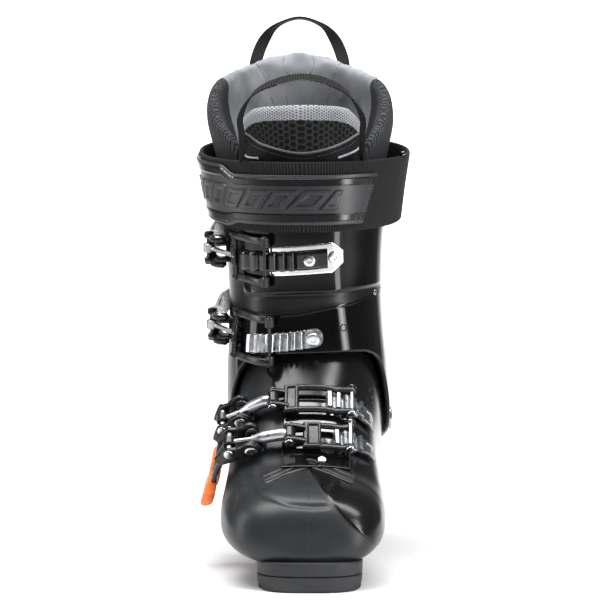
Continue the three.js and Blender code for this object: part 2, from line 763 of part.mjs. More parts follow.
add('upper_ladder', cut(upperLadder, bore(ladderScrew, 1.6 + GAP, 8)), SATIN_BLACK);
const lowerLadder = strip(legBand, LOWER_ORIGIN, evenInX(LOWER_ORIGIN, -41.5, 9.7), ladderHeights(-4.2, 6.4),
  flat(0.7), teeth(8, 0.75, 2.4, 4.9), 36, LOWER_RISE * 51.2);
add('lower_ladder', cut(lowerLadder, bore(lowerScrew, 1.8 + GAP, 8)), SILVER);
add('base_plate_screw', screw(plateScrew, 4, 1.3, 2, 1.2), STEEL);
add('upper_ladder_screw', screw(ladderScrew, 4, 1.6, 1.6, 2), STEEL);
add('lower_ladder_screw', screw(lowerScrew, 4.6, 1.4, 1.8, 2), STEEL);

// ---------------------------------------------------------------- buckles

const LEVER_HALF = 10.4;
const CHEEK = 3;
const PIVOT_OFF = 9.5;
const STUD_RADIUS = 2.4;

/** The frame of a buckle's lever pivot: its first axis runs back along the wall, its second outwards. */
function pivotFrame(band, origin, axis, turn) {
  const at = band(origin, radians(turn), 0, PIVOT_OFF);
  const behind = band(origin, radians(turn - 4), 0, PIVOT_OFF);
  const ahead = band(origin, radians(turn + 4), 0, PIVOT_OFF);
  return frame(at, behind.sub(ahead), axis);
}

/** A path in a buckle's own plane that follows the wall at an offset. */
function pathAlong(place, band, origin, turns, off) {
  const inverse = place.clone().invert();
  return turns.map((turn, i) => {
    const p = band(origin, radians(turn), 0, off(i / (turns.length - 1))).applyMatrix4(inverse);
    return [p.x, p.y];
  });
}

/** The lever: two cheeks round the pivot and the trunnion, and a plate that follows the wall. */
function lever(place, outer, inner) {
  const cheek = outline([-5, -2.5], [-2, -5], [3, -5], [12, -6], [20, -6], [27, -6], [27, 1], [22, 4],
    [14, 5.2], [5, 5.4], [-2, 5], [-5, 2]);
  const cheeks = [-LEVER_HALF, LEVER_HALF - CHEEK].map((low) => extruded(cheek, low, low + CHEEK, place));
  const arm = extruded(outline(...outer, ...inner.reverse()), -LEVER_HALF + 0.4, LEVER_HALF - 0.4, place);
  const bores = [
    hole(place, 0, 0, -LEVER_HALF - 2, LEVER_HALF + 2, STUD_RADIUS + GAP),
    hole(place, TRUNNION_STEP, TRUNNION_RISE, -LEVER_HALF - 2, LEVER_HALF + 2),
  ];
  return cut(join(...cheeks, arm), ...bores);
}

/** The bracket between the cheeks, with a headed stud out through each cheek as the lever's pivot. */
function bracket(place, foot) {
  const face = LEVER_HALF - CHEEK - GAP;
  const ear = outline([-6, -foot], [6.5, -foot], [4.6, 0], [2.6, 3.4], [-2.6, 3.4], [-4.8, 0]);
  const base = outline([-5, -foot + 0.2], [5.4, -foot + 0.2], [4.8, -foot + 2], [-4.4, -foot + 2]);
  const pieces = [extruded(base, -face + 1, face - 1, place)];
  for (const side of [-1, 1]) {
    const span = (a, b) => [Math.min(side * a, side * b), Math.max(side * a, side * b)];
    pieces.push(extruded(ear, ...span(face - 2.4, face), place));
    pieces.push(extruded(disc(STUD_RADIUS, 10), ...span(face - 1, LEVER_HALF + GAP + 1), place));
    pieces.push(extruded(disc(STUD_RADIUS + 1.6, 10), ...span(LEVER_HALF + GAP, LEVER_HALF + 1.6), place));
  }
  return join(...pieces);
}

/** A rod from one point to another. */
function rod(from, to, radius, sides = 8) {
  const direction = to.clone().sub(from);
  return extruded(disc(radius, sides), 0, direction.length(), aimed(from, direction));
}

function localPoint(place, x, y, z) {
  return new THREE.Vector3(x, y, z).applyMatrix4(place);
}

function shifted(place, x, y) {
  return place.clone().multiply(new THREE.Matrix4().makeTranslation(x, y, 0));
}

/** An eye round the trunnion pin, with the rod that runs forward from it under the pivot. */
function eyeRod(place, target, radius) {
  const trunnion = shifted(place, TRUNNION_STEP, TRUNNION_RISE);
  const from = localPoint(trunnion, 0, 0, 0);
  const start = from.clone().lerp(target, 3.4 / from.distanceTo(target));
  const eye = extruded(disc(4.4, 12), -3.4, 3.4, trunnion);
  return cut(join(eye, rod(start, target, radius)), hole(trunnion, 0, 0, -6, 6));
}

function leverSet(name, place, foot, band, origin, turns, heights) {
  const outer = pathAlong(place, band, origin, turns, heights[1]);
  const inner = pathAlong(place, band, origin, turns, heights[0]);
  add(`${name}_lever`, lever(place, outer, inner), SATIN_BLACK);
  add(`${name}_buckle_base`, bracket(place, foot), STEEL);
  const trunnion = shifted(place, TRUNNION_STEP, TRUNNION_RISE);
  const reach = LEVER_HALF + GAP;
  add(`${name}_trunnion_pin`, pin(trunnion, -reach, reach, PIN_RADIUS, 1.4, 1.2), STEEL);
}

const cuffBuckles = [
  { name: 'upper_cuff', origin: UPPER_ORIGIN, pivot: -62, hook: -28 },
  { name: 'lower_cuff', origin: LOWER_ORIGIN, pivot: -60, hook: -25.4 },
];

const BAIL_INNER = 11.4;
const BAIL_OUTER = 17.4;
const BAIL_PLATE_TURN = -48;
const CROSSBAR_OFF = 7.6;
const CROSSBAR_RADIUS = 1.3;

cuffBuckles.forEach(({ name, origin, pivot, hook }) => {
  const place = pivotFrame(legBand, origin, CUFF_AXIS, pivot);
  const turns = [-76, -81, -87, -93, -99, -105, -110];
  const inside = (u) => 8.5 - 6 * u;
  const outside = (u) => 13 - 7 * u;
  const moved = turns.map((t) => t + (pivot + 62));
  leverSet(name, place, PIVOT_OFF - 0.8, legBand, origin, moved, [inside, outside]);

  const plateAt = legBand(origin, radians(BAIL_PLATE_TURN + 1), 0, 5.2);
  add(`${name}_adjuster_rod`, eyeRod(place, plateAt, 1.7), STEEL);
  const rise = (base) => (u) => base + 3.6 * THREE.MathUtils.smoothstep(u, 0.3, 1);
  const hookTurn = turnAtX(origin.z, hook);
  const arms = [[BAIL_INNER, BAIL_OUTER], [-BAIL_OUTER, -BAIL_INNER]].map((heights) =>
    strip(legBand, origin, [BAIL_PLATE_TURN, hookTurn + 3], heights, rise(2.6), rise(5.4), 8));
  const cross = strip(legBand, origin, [BAIL_PLATE_TURN - 3, BAIL_PLATE_TURN + 4],
    [-BAIL_OUTER, BAIL_OUTER], flat(2.6), flat(7.4), 3);
  const hookPlace = frame(legBand(origin, radians(hookTurn), 0, CROSSBAR_OFF),
    new THREE.Vector3(1, 0, 0), CUFF_AXIS);
  const barrels = [[BAIL_INNER - 1, BAIL_OUTER], [-BAIL_OUTER, -BAIL_INNER + 1]].map(([low, high]) =>
    extruded(disc(3.1, 10), low, high, hookPlace));
  const rodRoom = rod(localPoint(place, TRUNNION_STEP, TRUNNION_RISE, 0), plateAt.clone().lerp(
    localPoint(place, TRUNNION_STEP, TRUNNION_RISE, 0), -0.4), 1.7 + GAP, 10);
  const barRoom = hole(hookPlace, 0, 0, -BAIL_OUTER + 2, BAIL_OUTER - 2, CROSSBAR_RADIUS + GAP);
  add(`${name}_bail`, cut(join(...arms, cross, ...barrels), rodRoom, barRoom), SATIN_BLACK);
  add(`${name}_crossbar`, extruded(disc(CROSSBAR_RADIUS, 8), -BAIL_OUTER + 2.4, BAIL_OUTER - 2.4, hookPlace),
    SILVER);
});

const footBuckles = [
  { name: 'instep', origin: INSTEP_ORIGIN, pivot: -43, clevis: -20, hook: 27, end: -84 },
  { name: 'toe', origin: TOE_ORIGIN, pivot: -33, clevis: -9, hook: 25, end: -80 },
];
const STRAP_HALF = 12.6;
const STRAP_ARM = 4.8;
const EAR_FACE = 4.4;
const EAR_WIDTH = 3;
footBuckles.forEach(({ name, origin, pivot, clevis, hook, end }) => {
  const place = pivotFrame(footBand, origin, FOOT_AXIS, pivot);
  const turns = Array.from({ length: 7 }, (_, i) => THREE.MathUtils.lerp(pivot - 17, end, i / 6));
  leverSet(name, place, PIVOT_OFF - 1.7, footBand, origin, turns, [(u) => 8 - 1.5 * u, (u) => 12.4 - 2 * u]);

  const tipTurns = [end - 0.6, end - 8, end - 16];
  const tipInner = pathAlong(place, footBand, origin, tipTurns, (u) => 6.4 + 1.5 * u);
  const tipOuter = pathAlong(place, footBand, origin, tipTurns, (u) => 11.4 - 1.5 * u);
  add(`${name}_lever_tip`, extruded(outline(...tipOuter, ...tipInner.reverse()), -9, 9, place), ORANGE);

  const outwardX = new THREE.Vector3(-1, 0, 0);
  const clevisPlace = frame(footBand(origin, radians(clevis), 0, 8.6), outwardX, FOOT_AXIS);
  const target = localPoint(clevisPlace, 0, 0, 0);
  const earEnd = EAR_FACE + EAR_WIDTH + GAP;
  const knuckle = extruded(disc(4, 10), -EAR_FACE + GAP, EAR_FACE - GAP, clevisPlace);
  const reach = target.clone().lerp(localPoint(place, 0, 0, 0), 0.35);
  const bar = rod(target, reach, 2.6, 10);
  const link = join(eyeRod(place, target, 1.9), knuckle, bar);
  add(`${name}_link`, cut(link, hole(clevisPlace, 0, 0, -6, 6)), SILVER);
  add(`${name}_clevis_pin`, pin(clevisPlace, -earEnd, earEnd, PIN_RADIUS, 1.2, 1.2), STEEL);

  const rise = (base, step) => (u) => base + step * THREE.MathUtils.smoothstep(u, 0.7, 1);
  const sides = [[STRAP_HALF - STRAP_ARM, STRAP_HALF], [-STRAP_HALF, -STRAP_HALF + STRAP_ARM]];
  const straps = sides.map((heights) =>
    strip(footBand, origin, [clevis + 8, hook + 2], heights, rise(4.8, 2.4), rise(8, 4.4), 10));
  const full = [-STRAP_HALF, STRAP_HALF];
  const yoke = strip(footBand, origin, [clevis + 7, clevis + 14], full, flat(4.8), flat(9), 3);
  const ear = outline([3, -3], [4.2, 0], [3, 3], [0, 4.2], [-11, 1.6], [-11, -3], [0, -4.2]);
  const ears = [-EAR_FACE - EAR_WIDTH, EAR_FACE].map((low) =>
    extruded(ear, low, low + EAR_WIDTH, clevisPlace));
  const hookPlace = frame(footBand(origin, radians(hook), 0, 9.8), outwardX, FOOT_AXIS);
  const barRoom = hole(hookPlace, 0, 0, -STRAP_HALF - 2, STRAP_HALF + 2, CROSSBAR_RADIUS + GAP);
  const pinRoom = hole(clevisPlace, 0, 0, -STRAP_HALF, STRAP_HALF);
  const linkRoom = extruded(disc(4.8, 12), -EAR_FACE, EAR_FACE, clevisPlace);
  add(`${name}_strap_frame`, cut(join(...straps, yoke, ...ears), barRoom, pinRoom, linkRoom), SATIN_BLACK);
  const barEnd = STRAP_HALF + GAP;
  add(`${name}_crossbar`, pin(hookPlace, -barEnd, barEnd, CROSSBAR_RADIUS, 1.6, 1.2), STEEL);
});

export default boot;
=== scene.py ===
"""Alpine ski boot, right foot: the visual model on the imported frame.

Lengths in this file are millimetres until a mesh is made, which turns them into metres.
The toe points towards -Y, the inner (medial) side is +X and the floor is z = 0.
"""

import math

import bmesh
import bpy
import numpy as np
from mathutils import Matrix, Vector
from mathutils.bvhtree import BVHTree
from mathutils.kdtree import KDTree


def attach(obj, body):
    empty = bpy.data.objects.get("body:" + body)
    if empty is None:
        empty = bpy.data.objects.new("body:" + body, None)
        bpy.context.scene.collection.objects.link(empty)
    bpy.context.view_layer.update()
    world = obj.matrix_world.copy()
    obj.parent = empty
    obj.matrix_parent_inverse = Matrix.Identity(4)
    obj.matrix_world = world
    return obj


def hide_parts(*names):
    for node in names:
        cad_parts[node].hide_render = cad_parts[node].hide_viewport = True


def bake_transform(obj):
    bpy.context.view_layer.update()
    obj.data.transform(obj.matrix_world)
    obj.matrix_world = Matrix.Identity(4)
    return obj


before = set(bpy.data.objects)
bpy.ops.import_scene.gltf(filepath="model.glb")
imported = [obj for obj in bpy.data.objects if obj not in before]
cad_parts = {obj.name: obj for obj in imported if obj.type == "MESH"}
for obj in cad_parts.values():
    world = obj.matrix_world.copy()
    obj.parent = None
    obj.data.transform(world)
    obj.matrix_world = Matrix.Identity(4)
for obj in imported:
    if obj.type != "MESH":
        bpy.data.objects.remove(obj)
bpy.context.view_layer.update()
MM = 0.001

# ------------------------------------------------------------------ driving dimensions

TOE_FRONT = -276
HEEL_BACK = 37
LUG_HALF_WIDTH = 34.5
PAD_THICKNESS = 10
TOE_LUG_HEIGHT = 19
HEEL_LUG_HEIGHT = 30
TOE_PAD_END = -172
HEEL_PAD_END = -37
SHELL_WALL = 4.5
CUFF_WALL = 3
ANKLE = (-50, 97)

CUFF_AXIS = np.array([0, -0.2425, 0.9702])
FOOT_AXIS = np.array([0, 0.7, 0.7141])
INSTEP_ORIGIN = np.array([0, -175, 114.0])
TOE_ORIGIN = np.array([0, -197, 89.5])
UPPER_ORIGIN = np.array([0, -163.6, 213.0])
LOWER_ORIGIN = np.array([0, -157, 158.0])

TRUNNION = (15, 3)
LEVER_HALF = 10.4
CHEEK = 3
PIN_GAP = 0.35
PIVOT_OFF = 9.5
UPPER_RISE = 0.078
LOWER_RISE = 0.1445


# ------------------------------------------------------------------ curves and surfaces

def smooth(*pairs):
    """A smooth curve through (position, value) pairs, held at its end values."""
    xs, ys = np.array(pairs, float).T
    count = len(xs)
    before = np.maximum(np.arange(count) - 1, 0)
    after = np.minimum(np.arange(count) + 1, count - 1)
    slopes = (ys[after] - ys[before]) / (xs[after] - xs[before])

    def curve(position):
        p = np.clip(position, xs[0], xs[-1])
        i = np.clip(np.searchsorted(xs, p, side="right") - 1, 0, count - 2)
        span = xs[i + 1] - xs[i]
        t = (p - xs[i]) / span
        rise = ys[i + 1] - ys[i]
        a = slopes[i] * span - rise
        b = rise - slopes[i + 1] * span
        return ys[i] + t * rise + t * (1 - t) * ((1 - t) * a + t * b)
    return curve


def step(value, low, high):
    """0 below low, 1 above high, and a smooth rise between."""
    t = np.clip((value - low) / (high - low), 0, 1)
    return t * t * (3 - 2 * t)


def both(a, b, radius):
    """The smaller of two distances, with the corner where they meet rounded off."""
    blend = np.clip(0.5 + 0.5 * (b - a) / radius, 0, 1)
    return b * (1 - blend) + a * blend - radius * blend * (1 - blend)


def squared(value, n):
    return np.sign(value) * np.abs(value) ** (2 / n)


def point(x, y, z):
    return np.stack(np.broadcast_arrays(x, y, z), axis=-1).astype(float)


def unit(vectors):
    return vectors / np.maximum(np.linalg.norm(vectors, axis=-1, keepdims=True), 1e-9)


# Each station of the lower shell: top point and bottom point in the YZ plane, half widths of the lateral
# and the medial side, how far up the widest place is, and the squareness of the upper half.
STATIONS = [
    (-270, 32, -270, 32, 0, 0, 0.45, 2.3),
    (-268, 45, -270, 21, 26, 24, 0.45, 2.4),
    (-260, 56, -264, 15.5, 42, 38, 0.46, 2.5),
    (-246, 64, -252, 13.5, 52, 45.5, 0.47, 2.5),
    (-229, 70.5, -232, 13, 57.5, 49, 0.46, 2.5),
    (-212, 78, -208, 13, 59.5, 50.5, 0.43, 2.5),
    (-194, 93, -180, 13.5, 59, 50.5, 0.38, 2.4),
    (-176, 113, -148, 14, 57.5, 49.5, 0.38, 2.3),
    (-160, 133, -110, 14.5, 56, 49.5, 0.43, 2.3),
    (-150, 148, -70, 14, 54, 51.5, 0.5, 2.3),
    (-144, 158, -36, 13.5, 54, 53, 0.54, 2.3),
    (-141, 166, -4, 13, 54, 53.5, 0.56, 2.3),
    (-140, 171, 18, 18, 54, 54, 0.54, 2.4),
    (-139.5, 174, 27, 42, 54, 54, 0.52, 2.4),
    (-139, 176.5, 27.5, 70, 53.5, 53.5, 0.51, 2.4),
    (-138.5, 179, 23, 97, 52.5, 52.5, 0.5, 2.4),
    (-138, 181, 17.5, 120, 51.5, 51.5, 0.5, 2.4),
]
LAST_STATION = len(STATIONS) - 1
LOWER_SQUARENESS = 2.5
station_curves = [smooth(*[(i, s[k]) for i, s in enumerate(STATIONS)]) for k in range(8)]


def foot(station, turn, top=0, bottom=0, side=0):
    """The foot's surface: station 0 to 16, turn in radians from the top towards the medial side."""
    ty, tz, by, bz, lateral, medial, level, squareness = [c(station) for c in station_curves]
    length = np.maximum(np.hypot(ty - by, tz - bz), 1e-6)
    c, s = np.cos(turn), np.sin(turn)
    upper = c > 0
    n = np.where(upper, squareness, LOWER_SQUARENESS)
    reach = np.where(upper, length * (1 - level) - top, length * level - bottom)
    rise = squared(c, n) * reach + length * level
    width = np.where(s > 0, medial, lateral) - side
    return point(squared(s, n) * width, by + (ty - by) / length * rise, bz + (tz - bz) / length * rise)


leg_front = smooth((80, -152), (120, -153), (148, -156), (190, -159), (230, -167), (270, -175), (300, -181),
                   (340, -187), (390, -191))
leg_back = smooth((80, 34), (100, 33), (130, 28.5), (170, 16), (210, 3), (250, -8), (290, -15), (315, -20),
                  (350, -26), (390, -31))
leg_half = smooth((80, 58.5), (110, 60.5), (140, 59.5), (165, 57.5), (195, 56.5), (225, 57.5), (245, 59.5),
                  (270, 63), (300, 68), (330, 72), (354, 68.5), (390, 62))
leg_squareness = smooth((80, 2.9), (140, 2.9), (200, 2.55), (300, 2.4))
LEG_LEAN = -0.0287


def leg(z, turn):
    """The leg's surface at height z, turn in radians from the front towards the medial side."""
    front, back, n = leg_front(z), leg_back(z), leg_squareness(z)
    x = squared(np.sin(turn), n) * leg_half(z) + LEG_LEAN * np.maximum(z - 100, 0)
    y = (front + back) / 2 - squared(np.cos(turn), n) * (back - front) / 2
    return point(x, y, z)


def raised(surface, u, v, off):
    """A surface moved outwards along its normal."""
    h = 0.02
    u, v, off = np.broadcast_arrays(np.asarray(u, float), np.asarray(v, float), np.asarray(off, float))
    along_u = surface(u + h, v) - surface(u - h, v)
    along_v = surface(u, v + h) - surface(u, v - h)
    return surface(u, v) - unit(np.cross(along_u, along_v)) * off[..., None]


def on_leg(z, turn, off):
    return raised(leg, z, turn, off)


def turn_at_x(z, x):
    """The turn, in degrees, at which the leg's front at height z has that x."""
    share = (x - LEG_LEAN * max(z - 100, 0)) / leg_half(z)
    return np.degrees(np.arcsin(squared(share, 4 / leg_squareness(z))))


def leg_band(origin, turn, height, off):
    """A point off the leg, in the plane at that distance along the cuff buckles' axis."""
    z = np.full(np.broadcast(turn, height, off).shape, origin[2])
    for _ in range(24):
        at = on_leg(z, turn, off)
        z = z - ((at - origin) @ CUFF_AXIS - height) * 0.9
    return at


def foot_band(origin, turn, height, off):
    """A point off the foot, in the plane at that distance along the foot buckles' axis."""
    station = np.full(np.broadcast(turn, height, off).shape, 7.0)
    for _ in range(24):
        at = raised(foot, station, turn, off)
        station = station - np.clip(((at - origin) @ FOOT_AXIS - height) / 28, -0.6, 0.6)
    return at


def lerp(a, b, t):
    return a + (b - a) * t


# ------------------------------------------------------------------ making meshes

def new_piece(name, points, faces, uvs=None, sharp=35, attributes=None):
    """A mesh object from points in mm: points welded, faces turned outwards, edges split by angle."""
    mesh = bpy.data.meshes.new(name)
    mesh.from_pydata((np.asarray(points, float) * MM).tolist(), [], faces)
    if uvs is not None:
        layer = mesh.uv_layers.new(name="flat")
        layer.data.foreach_set("uv", np.asarray(uvs, np.float32).ravel())
    for key, values in (attributes or {}).items():
        layer = mesh.attributes.new(key, "FLOAT", "POINT")
        layer.data.foreach_set("value", np.asarray(values, np.float32).ravel())
    obj = bpy.data.objects.new(name, mesh)
    bpy.context.scene.collection.objects.link(obj)
    tidy_mesh(mesh, sharp)
    return obj


def tidy_mesh(mesh, sharp=35, bevel=0.0):
    bm = bmesh.new()
    bm.from_mesh(mesh)
    bmesh.ops.remove_doubles(bm, verts=bm.verts, dist=3e-6)
    bmesh.ops.dissolve_degenerate(bm, edges=bm.edges, dist=1e-6)
    bmesh.ops.recalc_face_normals(bm, faces=bm.faces)
    if bevel:
        creases = [e for e in bm.edges if len(e.link_faces) == 2 and e.calc_face_angle() > math.radians(28)]
        bmesh.ops.bevel(bm, geom=creases, offset=bevel * MM, segments=2, profile=0.5, affect="EDGES",
                        clamp_overlap=True)
    bm.to_mesh(mesh)
    bm.free()
    mesh.shade_smooth()
    mesh.set_sharp_from_angle(angle=math.radians(sharp))


def grid_faces(columns, rows, closed, start=0, flip=False):
    """Quads over a columns x rows grid of points, and each corner's place in the grid."""
    faces, corners = [], []
    for i in range(columns if closed else columns - 1):
        for j in range(rows - 1):
            ring = [(i, j), (i + 1, j), (i + 1, j + 1), (i, j + 1)]
            if flip:
                ring.reverse()
            faces.append([start + (a % columns) * rows + b for a, b in ring])
            corners.extend(ring)
    return faces, corners


def rounded_steps(length, radius, count, rim=4):
    """Parameters 0..1 with extra rows in two rounded rims, and each row's share of the full thickness."""
    if radius <= 0:
        return np.linspace(0, 1, count), np.ones(count)
    angles = np.linspace(0, math.pi / 2, rim + 1)[:-1]
    near = radius * (1 - np.cos(angles)) / length
    middle = np.linspace(radius / length, 1 - radius / length, count)
    share = np.concatenate([np.sin(angles), np.ones(count), np.sin(angles[::-1])])
    return np.concatenate([near, middle, 1 - near[::-1]]), share


def slab(name, place, size, counts, inner, outer, radius=(0, 0), closed=False, relief=None, sharp=35,
         attributes=None):
    """A wall on a surface place(u, v, off), with rounded rims and relief on its outer face.

    size is the wall's rough width and height, counts its steps, and radius the rims' width along u and v.
    relief(u, v) is added to the outer face. attributes are functions of (u, v, side) with side 1 outside.
    """
    if closed:
        us, ku = np.linspace(0, 1, counts[0], endpoint=False), np.ones(counts[0])
    else:
        us, ku = rounded_steps(size[0], radius[0], counts[0])
    vs, kv = rounded_steps(size[1], radius[1], counts[1])
    U, V = np.meshgrid(us, vs, indexing="ij")
    share = ku[:, None] * kv[None, :]
    low = inner(U, V) if callable(inner) else np.full(U.shape, float(inner))
    high = outer(U, V) if callable(outer) else np.full(U.shape, float(outer))
    middle, half = (low + high) / 2, (high - low) / 2
    extra = relief(U, V) * share if relief else 0
    out = place(U, V, middle + half * share + extra)
    back = place(U, V, middle - half * share)
    columns, rows = U.shape
    faces, corners = grid_faces(columns, rows, closed)
    more, more_corners = grid_faces(columns, rows, closed, columns * rows, flip=True)
    faces += more
    corners += more_corners
    sides, side_corners = rim_faces(columns, rows, closed)
    faces += sides
    corners += side_corners
    u_of = np.append(us, 1.0) if closed else us
    uvs = [(u_of[i] * size[0] / 100, vs[j] * size[1] / 100) for i, j in corners]
    values = {}
    for key, of in (attributes or {}).items():
        values[key] = np.concatenate([np.ravel(of(U, V, 1) * np.ones(U.shape)),
                                      np.ravel(of(U, V, -1) * np.ones(U.shape))])
    points = np.concatenate([out.reshape(-1, 3), back.reshape(-1, 3)])
    return new_piece(name, points, faces, uvs, sharp, values)


def rim_faces(columns, rows, closed):
    """The faces that join the two sides of a wall along its rims."""
    faces, corners = [], []
    other = columns * rows
    for i in range(columns if closed else columns - 1):
        for j, turn in ((0, 1), (rows - 1, -1)):
            a, b = i * rows + j, ((i + 1) % columns) * rows + j
            faces.append([a, other + a, other + b, b][::turn])
            corners.extend([(i, j), (i, j), (i + 1, j), (i + 1, j)][::turn])
    if not closed:
        for j in range(rows - 1):
            for i, turn in ((0, -1), (columns - 1, 1)):
                a = i * rows + j
                faces.append([a, other + a, other + a + 1, a + 1][::turn])
                corners.extend([(i, j), (i, j), (i, j + 1), (i, j + 1)][::turn])
    return faces, corners


def axes(origin, e, a):
    """A local frame as a 4x4: e along the piece, then away from the wall, then a along the hinge axis."""
    along = unit(np.asarray(e, float) - np.dot(e, a) * a)
    matrix = np.eye(4)
    matrix[:3, 0], matrix[:3, 1], matrix[:3, 2], matrix[:3, 3] = along, np.cross(a, along), a, origin
    return matrix


def aimed(origin, direction):
    """A frame whose third axis is the given direction."""
    out = unit(np.asarray(direction, float))
    helper = np.array([1.0, 0, 0]) if abs(out[0]) < 0.8 else np.array([0, 1.0, 0])
    side = unit(np.cross(helper, out))
    matrix = np.eye(4)
    matrix[:3, 0], matrix[:3, 1], matrix[:3, 2], matrix[:3, 3] = side, np.cross(out, side), out, origin
    return matrix


def moved(place, x, y, z=0.0):
    shift = np.eye(4)
    shift[:3, 3] = x, y, z
    return place @ shift


def to_world(place, points):
    return np.asarray(points, float) @ place[:3, :3].T + place[:3, 3]


def plate(name, shape, low, high, place, bevel=0.5):
    """A flat piece: an outline in the frame's first two axes, between two heights, with bevelled edges."""
    count = len(shape)
    points = [(x, y, h) for h in (low, high) for x, y in shape]
    faces = [list(range(count))[::-1], list(range(count, 2 * count))]
    faces += [[i, (i + 1) % count, count + (i + 1) % count, count + i] for i in range(count)]
    obj = new_piece(name, to_world(place, points), faces)
    tidy_mesh(obj.data, bevel=bevel)
    return obj


def turned(name, profile, place, sides=32, lobes=None):
    """A round piece from (radius, height) pairs along the frame's third axis, closed on the axis.

    lobes is (first ring, last ring, count, depth): those rings are star shaped, for a driver's socket.
    """
    angles = np.linspace(0, 2 * math.pi, sides, endpoint=False)
    points, faces = [], []
    for k, (radius, height) in enumerate(profile):
        star = 1.0
        if lobes and lobes[0] <= k <= lobes[1]:
            star = 1 + lobes[3] * np.cos(lobes[2] * angles)
        ring = point(radius * star * np.cos(angles), radius * star * np.sin(angles), height)
        points.extend(ring)
    for k in range(len(profile) - 1):
        for i in range(sides):
            j = (i + 1) % sides
            faces.append([k * sides + i, k * sides + j, (k + 1) * sides + j, (k + 1) * sides + i])
    return new_piece(name, to_world(place, points), faces)


def fastener(name, place, radius, height, shank, depth, socket=0.42):
    """A screw with a domed head and a six-lobed socket."""
    hole = radius * socket
    profile = [(0, -depth), (shank, -depth), (shank, 0), (radius, 0), (radius, height * 0.4),
               (radius * 0.9, height * 0.8), (radius * 0.66, height), (hole, height),
               (hole * 0.94, height * 0.35), (0, height * 0.3)]
    return turned(name, profile, place, 48, lobes=(7, 8, 6, 0.16))


def rivet_pin(name, place, low, high, radius=2.0, head=1.6, height=1.6):
    """A pin with a domed head at each end."""
    big = radius + head
    end = [(0, -height), (big * 0.6, -height * 0.96), (big * 0.92, -height * 0.6), (big, -height * 0.25),
           (big, 0)]
    profile = [(r, low + h) for r, h in end] + [(radius, low), (radius, high)]
    profile += [(r, high - h) for r, h in reversed(end)]
    return turned(name, profile, place, 32)


def tube(name, points, radius, sides=10, squash=1.0, up=None):
    """A round or flattened tube along points, with closed ends. radius may vary along it."""
    path = np.asarray(points, float)
    radii = np.broadcast_to(np.asarray(radius, float), (len(path),))
    tangent = unit(np.gradient(path, axis=0))
    side = np.array([0, 0, 1.0]) if up is None else np.asarray(up, float)
    rings = []
    for at, along, r in zip(path, tangent, radii):
        side = unit(side - np.dot(side, along) * along)
        out = np.cross(along, side)
        angles = np.linspace(0, 2 * math.pi, sides, endpoint=False)
        rings.append(at + r * (np.cos(angles)[:, None] * side * squash + np.sin(angles)[:, None] * out))
    faces = []
    for k in range(len(path) - 1):
        for i in range(sides):
            j = (i + 1) % sides
            faces.append([k * sides + i, k * sides + j, (k + 1) * sides + j, (k + 1) * sides + i])
    faces.append(list(range(sides))[::-1])
    faces.append([(len(path) - 1) * sides + i for i in range(sides)])
    return new_piece(name, np.concatenate(rings), faces, sharp=50)


def fine(points, count):
    """A smooth curve of count points through a few."""
    given = np.asarray(points, float)
    place = np.arange(len(given))
    t = np.linspace(0, len(given) - 1, count)
    return np.stack([smooth(*zip(place, given[:, k]))(t) for k in range(given.shape[1])], axis=-1)


def joined(name, *pieces):
    """One object from several closed ones."""
    bm = bmesh.new()
    for piece in pieces:
        bm.from_mesh(piece.data)
    mesh = bpy.data.meshes.new(name)
    bm.to_mesh(mesh)
    bm.free()
    for piece in pieces:
        bpy.data.objects.remove(piece)
    mesh.shade_smooth()
    mesh.set_sharp_from_angle(angle=math.radians(35))
    obj = bpy.data.objects.new(name, mesh)
    bpy.context.scene.collection.objects.link(obj)
    return obj


def finished(obj, body, material, slot, *nodes):
    """Gives a piece its material and its body, and hides the CAD nodes that it stands for. slot is not used.
    """
    obj.data.materials.clear()
    obj.data.materials.append(material)
    if body:
        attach(obj, body)
    if nodes:
        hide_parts(*nodes)
    return obj


def distance_to_line(x, z, line):
    """Distance in the front view from (x, z) to a polyline."""
    best = np.full(np.shape(x), 1e9)
    for (ax, az), (bx, bz) in zip(line[:-1], line[1:]):
        dx, dz = bx - ax, bz - az
        t = np.clip(((x - ax) * dx + (z - az) * dz) / (dx * dx + dz * dz), 0, 1)
        best = np.minimum(best, np.hypot(x - ax - t * dx, z - az - t * dz))
    return best


def read_points(mesh):
    values = np.zeros(len(mesh.vertices) * 3, np.float32)
    mesh.vertices.foreach_get("co", values)
    return values.reshape(-1, 3).astype(float) / MM


def surface_finder(obj):
    mesh = obj.data
    points = [tuple(p) for p in read_points(mesh)]
    return BVHTree.FromPolygons(points, [tuple(f.vertices) for f in mesh.polygons])


# ------------------------------------------------------------------ materials

